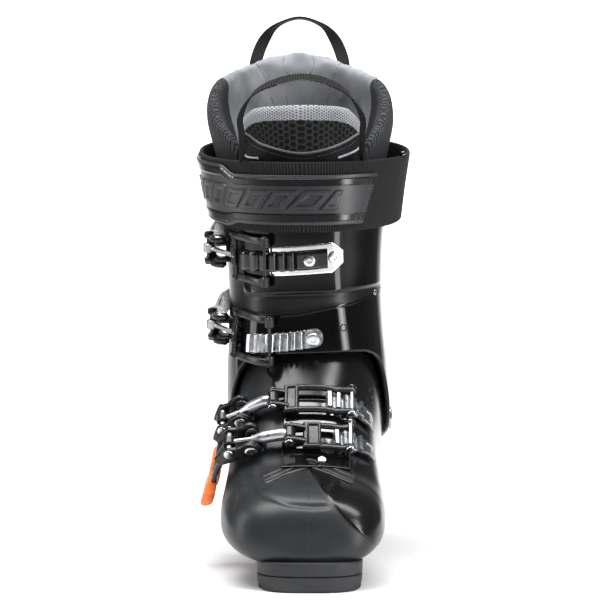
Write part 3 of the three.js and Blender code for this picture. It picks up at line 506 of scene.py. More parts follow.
class Shader:
    """A principled material, with short calls for its nodes."""

    def __init__(self, name, color, roughness, metallic=0.0, **values):
        self.material = bpy.data.materials.new(name)
        self.material.use_nodes = True
        self.tree = self.material.node_tree
        self.main = self.tree.nodes["Principled BSDF"]
        self.main.inputs["Base Color"].default_value = (*color, 1)
        self.main.inputs["Roughness"].default_value = roughness
        self.main.inputs["Metallic"].default_value = metallic
        for key, value in values.items():
            self.main.inputs[key.replace("_", " ")].default_value = value
        self.material.diffuse_color = (*color, 1)

    def node(self, kind, inputs=None, **settings):
        made = self.tree.nodes.new("ShaderNode" + kind)
        for key, value in settings.items():
            setattr(made, key, value)
        for key, value in (inputs or {}).items():
            if hasattr(value, "is_output"):
                self.tree.links.new(value, made.inputs[key])
            else:
                made.inputs[key].default_value = value
        return made

    def place(self):
        return self.node("TexCoord").outputs["Object"]

    def flat(self):
        return self.node("UVMap", uv_map="flat").outputs["UV"]

    def value(self, name):
        return self.node("Attribute", attribute_name=name).outputs["Fac"]

    def noise(self, scale, detail=3.0, stretch=None, source=None):
        source = source or self.place()
        if stretch:
            source = self.node("Mapping", {"Vector": source, "Scale": stretch}).outputs["Vector"]
        made = self.node("TexNoise", {"Vector": source, "Scale": scale, "Detail": detail})
        return made.outputs["Fac"]

    def between(self, value, low, high, a=0.0, b=1.0, kind="SMOOTHSTEP"):
        inputs = {"Value": value, "From Min": low, "From Max": high, "To Min": a, "To Max": b}
        made = self.node("MapRange", inputs, interpolation_type=kind)
        return made.outputs["Result"]

    def cloud(self, scale):
        """A soft cloudy pattern between 0 and 1."""
        return self.between(self.noise(scale, 4), 0.3, 0.7)

    def math(self, operation, a, b=0.0):
        return self.node("Math", {0: a, 1: b}, operation=operation).outputs[0]

    def mix(self, share, a, b):
        made = self.node("Mix", data_type="RGBA")
        for socket, value in zip((made.inputs[0], made.inputs[6], made.inputs[7]), (share, a, b)):
            if hasattr(value, "is_output"):
                self.tree.links.new(value, socket)
            elif isinstance(value, (int, float)):
                socket.default_value = value
            else:
                socket.default_value = (*value, 1)
        return made.outputs[2]

    def color(self, socket):
        self.tree.links.new(socket, self.main.inputs["Base Color"])

    def roughness(self, socket):
        self.tree.links.new(socket, self.main.inputs["Roughness"])

    def bump(self, height, distance, strength=1.0):
        made = self.node("Bump", {"Height": height, "Distance": distance, "Strength": strength})
        old = self.main.inputs["Normal"]
        if old.is_linked:
            self.tree.links.new(old.links[0].from_socket, made.inputs["Normal"])
        self.tree.links.new(made.outputs["Normal"], old)

    def worn(self, color, light, scale=60, amount=0.5):
        """Slow colour variation over the surface."""
        self.color(self.mix(self.between(self.noise(scale), 0.35, 0.65, 0, amount), color, light))


def moulded_material(name, matte, gloss, shine_roughness):
    """Moulded shell plastic: a fine matte grain, with glossy panels where 'gloss' is positive."""
    shader = Shader(name, matte, 0.45, Specular_IOR_Level=0.3)
    panel = shader.between(shader.value("gloss"), -0.25, 0.25)
    light = tuple(c * 1.25 for c in matte)
    dull = shader.mix(shader.cloud(45), matte, light)
    paint = shader.mix(panel, dull, gloss)
    dots = shader.node("TexVoronoi", {"Vector": shader.place(), "Scale": 330.0}, feature="F1")
    size = shader.between(shader.value("dots"), 0, 1, 0, 0.24, "LINEAR")
    dot = shader.math("LESS_THAN", dots.outputs["Distance"], size)
    shader.color(shader.mix(dot, paint, (0.22, 0.225, 0.23)))
    scuff = shader.between(shader.noise(14, 5), 0.35, 0.75, 0.31, 0.39)
    shine = shader.between(shader.noise(22, 5), 0.35, 0.8, shine_roughness, shine_roughness * 1.7)
    rough = shader.node("Mix", {0: panel, 2: scuff, 3: shine}, data_type="FLOAT").outputs[0]
    shader.roughness(rough)
    grain = shader.math("MULTIPLY", shader.noise(1900, 2), shader.math("SUBTRACT", 1.0, panel))
    shader.bump(grain, 0.00012, 0.45)
    across = shader.node("SeparateXYZ", {0: shader.place()}).outputs["X"]
    seam = shader.between(shader.math("ABSOLUTE", shader.math("ADD", across, 0.0003)), 0.0001, 0.0004)
    shader.bump(shader.math("MAXIMUM", seam, shader.value("no_seam")), 0.00012, 0.6)
    return shader.material


def gloss_material(name, color, roughness=0.09, coat=0.4):
    shader = Shader(name, color, roughness, Coat_Weight=coat, Coat_Roughness=0.05)
    shader.worn(color, tuple(c * 1.8 + 0.002 for c in color), 40)
    shader.roughness(shader.between(shader.noise(30, 5), 0.3, 0.8, roughness * 0.8, roughness * 1.6))
    shader.bump(shader.noise(35, 2), 0.0004, 0.12)
    return shader.material


def satin_material(name, color, roughness=0.32, metallic=0.0, grain=1600):
    shader = Shader(name, color, roughness, metallic)
    shader.worn(color, tuple(c * 1.4 + 0.003 for c in color), 90)
    shader.roughness(shader.between(shader.noise(150, 4), 0.3, 0.75, roughness * 0.8, roughness * 1.25))
    shader.bump(shader.noise(grain, 2), 0.00008, 0.35)
    return shader.material


def metal_material(name, color, roughness, brushed=(1, 1, 1), streak=0.15):
    """Bare metal with fine brushing along one direction and slightly duller patches."""
    shader = Shader(name, color, roughness, 1.0)
    shader.worn(color, tuple(c * 0.82 for c in color), 120)
    fine_lines = shader.noise(900, 3, brushed)
    shader.roughness(shader.between(shader.noise(210, 4), 0.3, 0.75, roughness * 0.7, roughness * 1.35))
    shader.bump(fine_lines, 0.00006, streak)
    return shader.material


def sole_material():
    color = (0.02, 0.021, 0.0225)
    shader = Shader("sole_compound", color, 0.6, Specular_IOR_Level=0.35)
    shader.worn(color, (0.032, 0.033, 0.035), 60)
    shader.roughness(shader.between(shader.noise(80, 4), 0.3, 0.7, 0.5, 0.68))
    shader.bump(shader.noise(700, 4), 0.0002, 0.4)
    return shader.material


def webbing_material(name, color, pitch=1.7):
    """Woven webbing: ribs across the strap with dashes along them, from its own flat coordinates, with
    painted shade in the weave's valleys and a painted highlight on its crests.
    """
    shader = Shader(name, color, 0.75, Specular_IOR_Level=0.22)
    parts = shader.node("SeparateXYZ", {0: shader.flat()})
    along = shader.math("MULTIPLY", parts.outputs["X"], 100 / pitch)
    up = shader.math("MULTIPLY", parts.outputs["Y"], 100 / (pitch * 0.85))
    rib = shader.math("ABSOLUTE", shader.math("SINE", shader.math("MULTIPLY", along, math.pi)))
    column = shader.math("FLOOR", along)
    offset = shader.math("MULTIPLY", shader.math("MODULO", column, 2.0), 0.5)
    dash = shader.math("ABSOLUTE", shader.math("SINE", shader.math(
        "MULTIPLY", shader.math("ADD", up, offset), math.pi)))
    height = shader.math("MULTIPLY", rib, shader.math("ADD", shader.math("MULTIPLY", dash, 0.6), 0.4))
    # painted shade and highlight: the colour darkens in the weave's valleys and lightens on its crests,
    # following the relief height
    light = tuple(c * 2.6 + 0.012 for c in color)
    shader.color(shader.mix(shader.between(height, 0.35, 1.0), tuple(c * 0.35 for c in color), light))
    shader.bump(height, 0.0004, 0.9)
    return shader.material


def knit_with_painted_shade(shader, dark, light, pitch):
    """A ribbed knit from the piece's own 'across' and 'up' values in mm, with painted shade in the grooves
    and a painted highlight on the rib crests. Returns its colour and height.
    """
    ribs = shader.math("MULTIPLY", shader.value("across"), math.pi / pitch)
    rib = shader.math("ABSOLUTE", shader.math("SINE", ribs))
    columns = shader.math("FLOOR", shader.math("DIVIDE", shader.value("across"), pitch))
    column = shader.math("MODULO", columns, 2.0)
    rows = shader.math("ADD", shader.math("DIVIDE", shader.value("up"), pitch * 1.1),
                       shader.math("MULTIPLY", column, 0.5))
    loop = shader.math("ABSOLUTE", shader.math("SINE", shader.math("MULTIPLY", rows, math.pi)))
    height = shader.math("MULTIPLY", rib, shader.math("ADD", shader.math("MULTIPLY", loop, 0.7), 0.3))
    # painted shade and highlight: dark in the grooves, light on the crests, from the knit's relief height
    return shader.mix(shader.between(height, 0.1, 0.9), dark, light), height


def liner_material():
    """Light grey lining where 'grey' is positive, and a dark ribbed knit elsewhere, whose grooves carry
    painted shade and whose crests carry a painted highlight.
    """
    shader = Shader("liner_cloth", (0.33, 0.335, 0.35), 0.62, Specular_IOR_Level=0.3)
    knit, height = knit_with_painted_shade(shader, (0.006, 0.006, 0.007), (0.055, 0.057, 0.062), 2.4)
    smooth_grey = shader.mix(shader.cloud(55), (0.205, 0.213, 0.23), (0.265, 0.274, 0.295))
    share = shader.between(shader.value("grey"), -0.4, 0.4)
    shader.color(shader.mix(share, knit, smooth_grey))
    shader.roughness(shader.between(share, 0, 1, 0.85, 0.55, "LINEAR"))
    ribbed = shader.math("MULTIPLY", height, shader.math("SUBTRACT", 1.0, share))
    shader.bump(ribbed, 0.0006, 0.8)
    shader.bump(shader.noise(1300, 3), 0.00012, 0.5)
    return shader.material


def hexagons(shader, pitch):
    """Round openings in a honeycomb over 'across' and 'up': about 3 in them, -1.5 between."""
    across, up = shader.value("across"), shader.value("up")
    turn = 4 * math.pi / (math.sqrt(3) * pitch)
    total = 0.0
    for angle in (0, 60, 120):
        sideways = shader.math("MULTIPLY", across, turn * math.cos(math.radians(angle)))
        upwards = shader.math("MULTIPLY", up, turn * math.sin(math.radians(angle)))
        total = shader.math("ADD", shader.math("COSINE", shader.math("ADD", sideways, upwards)), total)
    return total


def tongue_material():
    """Tongue: a light air mesh roll on top, a black honeycomb panel, and smooth black at the piping."""
    shader = Shader("tongue_cloth", (0.08, 0.083, 0.09), 0.7, Specular_IOR_Level=0.16)
    pores = shader.between(hexagons(shader, 1.9), -0.6, 1.6)
    air = shader.mix(pores, (0.34, 0.35, 0.37), (0.11, 0.115, 0.125))
    cells = shader.between(hexagons(shader, 4.4), -0.75, -0.1)
    weave = shader.between(hexagons(shader, 0.9), -0.6, 1.2)
    net = shader.mix(weave, (0.035, 0.036, 0.038), (0.012, 0.012, 0.013))
    honeycomb = shader.mix(cells, net, (0.003, 0.003, 0.0032))
    plain = shader.mix(shader.cloud(70), (0.007, 0.0075, 0.0085), (0.012, 0.0125, 0.014))
    lower = shader.between(shader.value("panel"), -0.3, 0.3)
    upper = shader.between(shader.value("roll"), -0.3, 0.3)
    shader.color(shader.mix(upper, shader.mix(lower, honeycomb, plain), air))
    shader.bump(shader.math("MULTIPLY", pores, upper), -0.0007, 0.8)
    middle = shader.math("SUBTRACT", 1.0, shader.math("MAXIMUM", upper, lower))
    shader.bump(shader.math("MULTIPLY", cells, middle), -0.0007, 0.9)
    shader.bump(shader.noise(1300, 3), 0.0001, 0.5)
    return shader.material


def stitch_material(name, color):
    shader = Shader(name, color, 0.6)
    shader.worn(color, tuple(c * 1.5 for c in color), 300)
    shader.bump(shader.noise(3000, 2), 0.0001, 0.5)
    return shader.material


SHELL = moulded_material("shell_plastic", (0.016, 0.017, 0.0185), (0.005, 0.005, 0.0055), 0.16)
CUFF = moulded_material("cuff_plastic", (0.008, 0.0084, 0.009), (0.003, 0.003, 0.0033), 0.08)
GLOSS_BLACK = gloss_material("gloss_black", (0.004, 0.004, 0.0045))
SATIN_BLACK = satin_material("satin_black", (0.011, 0.0115, 0.0125))
RUBBER_BLACK = satin_material("moulded_rubber", (0.022, 0.023, 0.025), 0.42, grain=1100)
BLACK_METAL = satin_material("black_metal", (0.009, 0.0092, 0.01), 0.26, 0.2)
# painted shade: a near-black finish that stands for the shade inside a hole
PAINTED_HOLE_SHADE = satin_material("painted_hole_shade", (0.002, 0.002, 0.002), 0.8)
SOLE = sole_material()
SILVER = metal_material("cast_silver", (0.60, 0.61, 0.63), 0.32, (1, 1, 9))
GREY_ALLOY = metal_material("grey_alloy", (0.36, 0.37, 0.385), 0.33, (1, 6, 1), 0.3)
CHROME = metal_material("chrome", (0.86, 0.87, 0.88), 0.07)
STEEL = metal_material("steel", (0.58, 0.59, 0.61), 0.24, (1, 1, 5))
ORANGE = satin_material("orange_plastic", (0.86, 0.17, 0.012), 0.3)
WEBBING = webbing_material("webbing", (0.006, 0.006, 0.0066))
LINER = liner_material()
TONGUE = tongue_material()
PIPING = satin_material("light_piping", (0.30, 0.31, 0.33), 0.45)
DARK_PIPING = satin_material("dark_piping", (0.10, 0.104, 0.112), 0.4)
GREY_THREAD = stitch_material("grey_thread", (0.09, 0.092, 0.098))
# painted shade: the colour of thin tubes that stand for the shade in the lining's pressed grooves
GROOVE_SHADE_GREY = satin_material("painted_groove_shade", (0.17, 0.175, 0.185), 0.6)
INSOLE_CLOTH = satin_material("insole_cloth", (0.16, 0.165, 0.175), 0.75, grain=700)
MARK_PAINT = satin_material("pale_print", (0.55, 0.56, 0.58), 0.4)


# ------------------------------------------------------------------ lower shell and soles

GLOSS_EDGE_Z = (10, 26, 45.6, 71, 84, 96, 112, 126, 150, 182)
GLOSS_EDGE_X = (60, 44, 23, 1.6, -7, -12, -21, -27, -33.5, -40)
CHEVRON_TOP = [(-31.5, 70), (-16, 76.2), (0.3, 80), (15, 75.6), (30, 69.6)]
CHEVRON_BOTTOM = [(-29, 65.3), (-15, 70.8), (0.3, 74.6), (14, 70.6), (28.4, 65)]
TOE_CREASE = [(-50, 52), (-48, 61.5), (-42, 63.4), (-27, 59), (-13, 54.8), (2, 53.6), (17, 54.4), (28, 57)]


def shell_gloss(points):
    """Distance in mm into the glossy medial panel of the lower shell."""
    x, y, z = np.moveaxis(points, -1, 0)
    side = (x - np.interp(z, GLOSS_EDGE_Z, GLOSS_EDGE_X)) * lerp(0.75, 0.25, step(z, 95, 115))
    return both(both(side, -70 - y, 6), z - 23, 5)


def shell_relief(points):
    """How far the outer face of the lower shell stands off its plain surface."""
    x, y, z = np.moveaxis(points, -1, 0)
    front = step(-y, 150, 165)
    crease = distance_to_line(x, z, TOE_CREASE)
    relief = -0.9 * front * step(-shell_gloss(points), 0.5, 6) * np.exp(-(crease / 1.7) ** 2)
    relief += 0.55 * step(shell_gloss(points), -0.6, 0.9)
    rib = np.abs(z - 34 - 0.06 * (y + 60))
    relief += 0.8 * step(-rib, -2.4, -1.2) * step(y, -190, -170) * step(-y, 20, 40)
    return relief


def make_lower_shell():
    around, along = 300, 210
    turns = np.linspace(0, 2 * math.pi, around, endpoint=False)

    def skin(first, inset, rows, detail):
        stations = first + (LAST_STATION - first) * np.linspace(0, 1, rows) ** 1.25
        T, S = np.meshgrid(turns, stations, indexing="ij")
        points = foot(S, T, inset, inset, inset)
        if not detail:
            return points
        return raised(foot, np.maximum(S, 0.03), T, shell_relief(points) * step(S, 0.1, 0.7)
                      * step(-S, -15.9, -15.5))
    outside = skin(0.02, 0, along, True)
    inside = skin(1.4, SHELL_WALL, 60, False)
    points = [outside.reshape(-1, 3), inside.reshape(-1, 3)]
    faces, _ = grid_faces(around, along, True)
    more, _ = grid_faces(around, 60, True, around * along, flip=True)
    faces += more
    tips = [outside[:, 0].mean(axis=0), inside[:, 0].mean(axis=0) - np.array([0, 2.0, 0])]
    tips[0][1] -= 0.25
    first_tip = around * (along + 60)
    for i in range(around):
        j = (i + 1) % around
        faces.append([i * along, j * along, first_tip][::-1])
        faces.append([around * along + i * 60, around * along + j * 60, first_tip + 1])
        rim, low = i * along + along - 1, around * along + i * 60 + 59
        faces.append([rim, low, around * along + j * 60 + 59, j * along + along - 1][::-1])
    points = np.concatenate(points + [np.array(tips)])
    dots = 0.9 * np.exp(-(((points[:, 0] - 47) / 7) ** 2 + ((points[:, 2] - 113) / 15) ** 2))
    dots += 0.8 * np.exp(-(((points[:, 0] - 50) / 5) ** 2 + ((points[:, 2] - 52) / 19) ** 2))
    dots *= step(-points[:, 1], 100, 130)
    no_seam = 1 - step(-points[:, 1], 200, 225)
    shell = new_piece("shell_body", points, faces, attributes={
        "gloss": shell_gloss(points), "dots": dots, "no_seam": no_seam}, sharp=50)
    lugs = [make_ledge("toe_ledge", TOE_FRONT, TOE_PAD_END, TOE_LUG_HEIGHT),
            make_ledge("heel_ledge", HEEL_BACK, HEEL_PAD_END, HEEL_LUG_HEIGHT)]
    finished(shell, "lower_boot", SHELL, "shell", "lower_shell")
    for lug in lugs:
        finished(lug, "lower_boot", SOLE, "shell", "lower_shell")
    finished(make_chevron(surface_finder(shell)), "lower_boot", SATIN_BLACK, "shell")


def make_chevron(finder):
    """A raised chevron with two grooves along it, moulded on top of the toe."""
    top, bottom = np.array(CHEVRON_TOP), np.array(CHEVRON_BOTTOM)
    knots = np.linspace(0, 1, len(top))

    def place(u, v, off):
        low, high = (np.stack([np.interp(u, knots, edge[:, c]) for c in (0, 1)], axis=-1)
                     for edge in (bottom, top))
        x, z = np.moveaxis(lerp(low, high, v[..., None]), -1, 0)
        result = []
        for at in zip(x.ravel(), z.ravel(), np.broadcast_to(off, x.shape).ravel()):
            where, normal, _, _ = finder.ray_cast(Vector((at[0], -400, at[1])), Vector((0, 1, 0)))
            result.append(np.array(where) + np.array(normal) * at[2])
        return np.array(result).reshape(x.shape + (3,))

    def grooves(u, v):
        return -0.7 * step(-np.minimum(np.abs(v - 0.3), np.abs(v - 0.62)), -0.085, -0.045)
    return slab("toe_chevron", place, (66, 5.2), (110, 34), -0.5, 0.9, (0.4, 0.4), relief=grooves)


def sole_outline(y0, y1, inset=0.0, points=15):
    """The sole's outline with its round end at y0, as in the CAD."""
    half = LUG_HALF_WIDTH - inset
    sign = math.copysign(1, y1 - y0)
    angles = np.linspace(-math.pi / 2, math.pi / 2, 2 * points + 1)
    xs = half * squared(np.sin(angles), 3.2)
    ys = y0 + sign * (inset + 26 * (1 - np.cos(angles)))
    shape = list(zip(xs, ys)) + [(half, y1 - sign * inset), (-half, y1 - sign * inset)]
    return shape if sign > 0 else shape[::-1]


def prism(name, layers, sharp=35):
    """A closed solid through outlines of equal length at rising heights: (outline, z) pairs."""
    count = len(layers[0][0])
    points = [(x, y, z) for shape, z in layers for x, y in shape]
    faces = [list(range(count))[::-1], [(len(layers) - 1) * count + i for i in range(count)]]
    for k in range(len(layers) - 1):
        for i in range(count):
            j = (i + 1) % count
            faces.append([k * count + i, k * count + j, (k + 1) * count + j, (k + 1) * count + i])
    return new_piece(name, points, faces, sharp=sharp)


def foot_solid(inset, first):
    """The foot's inner space as a closed solid, to keep the lugs out of it."""
    around, rows = 64, 40
    T, S = np.meshgrid(np.linspace(0, 2 * math.pi, around, endpoint=False),
                       np.linspace(first, LAST_STATION, rows), indexing="ij")
    points = foot(S, T, inset, inset, inset)
    faces, _ = grid_faces(around, rows, True)
    faces.append([i * rows for i in range(around)][::-1])
    faces.append([i * rows + rows - 1 for i in range(around)])
    return new_piece("foot_space", points.reshape(-1, 3), faces)


def cut_away(obj, tool):
    """Cuts tool out of obj and removes tool."""
    modifier = obj.modifiers.new("cut", "BOOLEAN")
    modifier.operation = "DIFFERENCE"
    modifier.solver = "EXACT"
    modifier.object = tool
    bpy.context.view_layer.update()
    evaluated = obj.evaluated_get(bpy.context.evaluated_depsgraph_get())
    mesh = bpy.data.meshes.new_from_object(evaluated)
    obj.modifiers.clear()
    obj.data = mesh
    bpy.data.objects.remove(tool)
    mesh.shade_smooth()
    mesh.set_sharp_from_angle(angle=math.radians(30))


def make_ledge(name, y0, y1, height):
    low = PAD_THICKNESS + 0.35
    layers = [(sole_outline(y0, y1, 1.1), low), (sole_outline(y0, y1, 0.25), low + 0.5),
              (sole_outline(y0, y1, 0.1), height - 2.4), (sole_outline(y0, y1, 0.0), height - 1.2),
              (sole_outline(y0, y1, 0.3), height - 0.4), (sole_outline(y0, y1, 1.0), height)]
    ledge = prism(name, layers)
    cut_away(ledge, foot_solid(SHELL_WALL / 2, 0.8))
    return ledge


def make_sole(name, y0, y1, grooves, screws):
    inset_at_height = [(2.2, 0), (1.4, 0.8), (0.5, 6.0), (0.2, PAD_THICKNESS - 0.8), (0.8, PAD_THICKNESS)]
    pad = prism(name, [(sole_outline(y0, y1, inset), z) for inset, z in inset_at_height])
    low = PAD_THICKNESS / 2
    for y in grooves:
        tool = plate("groove", [(-40, y - 2), (40, y - 2), (40, y + 2), (-40, y + 2)], -3, 3, np.eye(4), 0)
        cut_away(pad, tool)
    for y in screws:
        round_hole = turned("screw_hole", [(0, -3), (5.4, -3), (5.4, 15), (0, 15)],
                            aimed((0, y, 0), (0, 0, 1)), 40)
        cut_away(pad, round_hole)
    finished(pad, "lower_boot", SOLE, "sole", name)
    for i, y in enumerate(screws):
        place = aimed((0, y, low + 1), (0, 0, -1))
        head = fastener(f"{name}_bolt_{i + 1}", place, 4.8, 2.4, 2, 3.2)
        finished(head, "lower_boot", STEEL, "steel", f"{name}_screw_{i + 1}")


def on_wall(band, origin, turn, height, off):
    """A frame on a wall whose third axis is the outward normal. The turn is in degrees."""
    here, out = band(origin, math.radians(turn), height, np.array([off, off + 5.0]))
    return aimed(here, out - here)


def make_cover():
    """The instep cover: a glossy plate with a raised rim, a recessed foot and a plain geometric mark."""
    def place(u, v, off):
        turn = np.radians(lerp(-14, 27, u))
        return foot_band(TOE_ORIGIN, turn, lerp(-27, 36, v), off)
    length, width = 34, 63

    def relief(u, v):
        edge = np.minimum(np.minimum(u, 1 - u) * length, np.minimum(v, 1 - v) * width)
        rim = 0.5 * step(-edge, -2.2, -1.0)
        pocket = 0.9 * step(np.minimum(u - 0.1, 0.9 - u) * length, 0, 1)
        pocket = pocket * step(v * width, 3, 4) * step(-v * width, -14, -13)
        return rim + 0.25 * step(v, 0.62, 0.66) - pocket * 0.6
    cover = slab("instep_cover", place, (length, width), (60, 90), 0.7, 1.9, (0.5, 0.5), relief=relief)
    finished(cover, "lower_boot", GLOSS_BLACK, "gloss_black", "overlap_cover")
    bars = []
    for k in range(4):
        def bar_place(u, v, off, k=k):
            turn = np.radians(2.0 + 4.2 * k + 2.5 * v + lerp(0, 2.4, u))
            return foot_band(TOE_ORIGIN, turn, lerp(19.5, 25, v), off)
        bars.append(slab("bar", bar_place, (2, 5), (4, 6), 2.0, 2.14, (0, 0)))
    finished(joined("cover_mark", *bars), "lower_boot", MARK_PAINT, "gloss_black")
    screw = on_wall(foot_band, TOE_ORIGIN, 6, -20, 3)
    finished(fastener("cover_bolt", screw, 2.8, 1.2, 1.5, 1.4), "lower_boot", STEEL, "steel", "cover_screw")


make_lower_shell()
make_sole("toe_sole", TOE_FRONT, TOE_PAD_END, (-256, -218, -182), (-238, -196))
make_sole("heel_sole", HEEL_BACK, HEEL_PAD_END, (-28, 28), (-20, 18))
make_cover()


# ------------------------------------------------------------------ cuff

cuff_bottom_medial = smooth((0, 148), (25, 149.5), (42, 149), (58, 141), (72, 116), (85, 90), (105, 80),
                            (135, 84), (160, 92), (180, 95))
cuff_bottom_lateral = smooth((0, 148), (25, 146), (40, 142), (58, 124), (72, 100), (88, 84), (105, 80),
                             (135, 84), (160, 92), (180, 95))
cuff_top = smooth((0, 262), (40, 265), (90, 284), (140, 300), (180, 305))
UPPER_PANEL_X = (-45, 14.5, 40.3, 60)
UPPER_PANEL_Z = (189.5, 191.2, 195.5, 200)
LOWER_PANEL_X = (-48, -44, -6.4, 30.5, 46.5, 60)
LOWER_PANEL_Z = (173.3, 173.7, 177.2, 184.9, 191.9, 199)


def cuff_panels(points):
    """Distances in mm into the cuff's upper and lower glossy panels."""
    x, y, z = np.moveaxis(points, -1, 0)
    upper = both(z - np.interp(x, UPPER_PANEL_X, UPPER_PANEL_Z), x + 46.5, 8)
    lower = both(np.interp(x, LOWER_PANEL_X, LOWER_PANEL_Z) - z, x + 51, 5)
    return both(upper, -64 - y, 4), both(lower, -64 - y, 4)


def cuff_place(u, v, off):
    turn = (u - 0.5) * 2 * math.pi
    degrees = np.degrees(np.abs(turn))
    low = np.where(turn > 0, cuff_bottom_medial(degrees), cuff_bottom_lateral(degrees))
    return on_leg(lerp(low, cuff_top(degrees), v), turn, off)


def cuff_relief(u, v):
    points = cuff_place(u, v, np.zeros(u.shape))
    upper, lower = cuff_panels(points)
    x, y, z = np.moveaxis(points, -1, 0)
    relief = 0.9 * step(upper, -0.5, 0.9) + 0.6 * step(lower, -0.6, 0.8)
    relief -= 0.5 * np.exp(-((upper + 1.4) / 1.0) ** 2)
    relief += 0.5 * np.exp(-((lower + 0.2) / 1.1) ** 2) * step(-y, 120, 135)
    spine = np.abs(x - LEG_LEAN * np.maximum(z - 100, 0))
    relief += 1.4 * step(-spine, -14, -11) * step(y, -40, -20) * step(z, 110, 125) * step(-z, -292, -280)
    return relief


def make_cuff():
    def gloss(u, v, side):
        upper, lower = cuff_panels(cuff_place(u, v, np.zeros(u.shape)))
        return np.maximum(upper, lower) if side > 0 else np.full(u.shape, -5.0)
    attributes = {
        "gloss": gloss,
        "dots": lambda u, v, side: np.zeros(u.shape),
        "no_seam": lambda u, v, side: np.ones(u.shape),
    }
    cuff = slab("cuff_body", cuff_place, (400, 130), (380, 130), -CUFF_WALL, 0, (0, 1.5), True,
                relief=cuff_relief, sharp=50, attributes=attributes)
    finished(cuff, "cuff", CUFF, "cuff", "cuff_shell")
    for side, name in ((-1, "lateral"), (1, "medial")):
        place = aimed((side * 61.2, *ANKLE), (side, 0, 0))
        bolt = fastener(f"ankle_bolt_{name}", place, 9, 2.2, 3.5, 4.2, 0.4)
        finished(bolt, "cuff", STEEL, "steel", f"ankle_pivot_{name}")
    for i, z in enumerate((150, 178)):
        here, out = on_leg(np.full(2, float(z)), math.pi, np.array([1.4, 10.0]))
        bolt = fastener(f"spine_screw_{i + 1}", aimed(here, out - here), 6, 2, 3.5, 4, 0.42)
        finished(bolt, "cuff", STEEL, "steel", f"spine_bolt_{i + 1}")
    for name, x, z, radius in (("cuff_trim_screw", 46.5, 192.0, 2.1), ("cuff_eyelet", 24.0, 166.8, 2.6)):
        turn = math.radians(turn_at_x(z, x))
        here, out = on_leg(np.full(2, z), turn, np.array([0.7, 6.0]))
        place = aimed(here, out - here)
        if name == "cuff_eyelet":
            # the eyelet is a shallow dish in near black, painted shade standing for the depth of a hole
            ring = [(0, -0.8), (radius, -0.8), (radius, 0.1), (radius - 0.4, 0.25), (radius - 0.7, 0.1),
                    (radius - 0.8, -0.6), (0, -0.65)]
            finished(turned(name, ring, place, 36), "cuff", PAINTED_HOLE_SHADE, "satin_black")
        else:
            finished(fastener(name, place, radius, 0.8, 1, 1), "cuff", STEEL, "steel")


make_cuff()


# ------------------------------------------------------------------ liner and tongue

liner_top = smooth((0, 212), (24, 214), (36, 238), (44, 285), (52, 303), (62, 313), (76, 332), (90, 348),
                   (105, 357), (125, 365), (149, 374), (165, 380), (180, 382))
liner_low = smooth((0, 196), (50, 190), (90, 168), (140, 148), (180, 138))
LINER_GIRTH = 430
LINER_RISE = 420
LINER_INNER_FACE = -13.0
PADDING_SIMULATION = dict(voxel=4.0, pressure=4.0, frames=20)


def liner_point(u, v, off):
    """The liner's middle surface, from the toe (v = 0) to the top edge (v = 1), with off as thickness."""
    turn = (u - 0.5) * 2 * math.pi
    degrees = np.degrees(np.abs(turn))
    foot_share = 0.45
    station = lerp(2.3, LAST_STATION, np.clip(v / foot_share, 0, 1))
    inset = 9.0 - off * 0.55
    low = foot(station, turn, inset, inset + 10.6, inset)
    t = np.clip((v - foot_share) / (1 - foot_share), 0, 1)
    z = lerp(liner_low(degrees), liner_top(degrees), np.clip((t - 0.12) / 0.88, 0, 1))
    high = on_leg(z, turn, -8.7 + off)
    share = step(t, 0.0, 0.14)[..., None]
    return low * (1 - share) + high * share


def grey_share(u, v, side):
    """Distance in mm into the light grey lining: the inner face, and the rim round the back."""
    degrees = np.degrees(np.abs((u - 0.5) * 2 * math.pi))
    from_rim = (1 - v) * 260
    edge = 104 + 20 * np.clip(from_rim / 45, 0, 1)
    inward = (degrees - edge) * 1.1
    return inward if side < 0 else both(inward, 7 - from_rim, 2)


def simulated(obj, cap, voxel, pressure, frames):
    """Puffs a closed padded piece by cloth simulation; points move at most cap(points) mm."""
    remesh = obj.modifiers.new("voxels", "REMESH")
    remesh.mode = "VOXEL"
    remesh.voxel_size = voxel * MM
    even = obj.modifiers.new("even", "SMOOTH")
    even.factor = 0.5
    even.iterations = 5
    bpy.context.view_layer.update()
    mesh = bpy.data.meshes.new_from_object(obj.evaluated_get(bpy.context.evaluated_depsgraph_get()))
    obj.modifiers.clear()
    obj.data = mesh
    start = read_points(mesh)
    cloth = obj.modifiers.new("cloth", "CLOTH")
    cloth.settings.use_pressure = True
    cloth.settings.uniform_pressure_force = pressure
    cloth.settings.effector_weights.gravity = 0
    cloth.settings.quality = 5
    cloth.point_cache.frame_start = 1
    cloth.point_cache.frame_end = frames
    scene = bpy.context.scene
    for number in range(1, frames + 1):
        scene.frame_set(number)
    moved_mesh = bpy.data.meshes.new_from_object(obj.evaluated_get(bpy.context.evaluated_depsgraph_get()))
    end = read_points(moved_mesh)
    obj.modifiers.clear()
    scene.frame_set(1)
    shift = end - start
    length = np.maximum(np.linalg.norm(shift, axis=1), 1e-9)
    limit = cap(start)
    kept = start + shift * (np.minimum(length, limit) / length)[:, None]
    mesh.vertices.foreach_set("co", (kept * MM).astype(np.float32).ravel())
    mesh.update()
    subdivide(obj, 1)


def subdivide(obj, levels):
    modifier = obj.modifiers.new("smooth", "SUBSURF")
    modifier.levels = levels
    modifier.render_levels = levels
    bpy.context.view_layer.update()
    mesh = bpy.data.meshes.new_from_object(obj.evaluated_get(bpy.context.evaluated_depsgraph_get()))
    obj.modifiers.clear()
    obj.data = mesh
    mesh.shade_smooth()


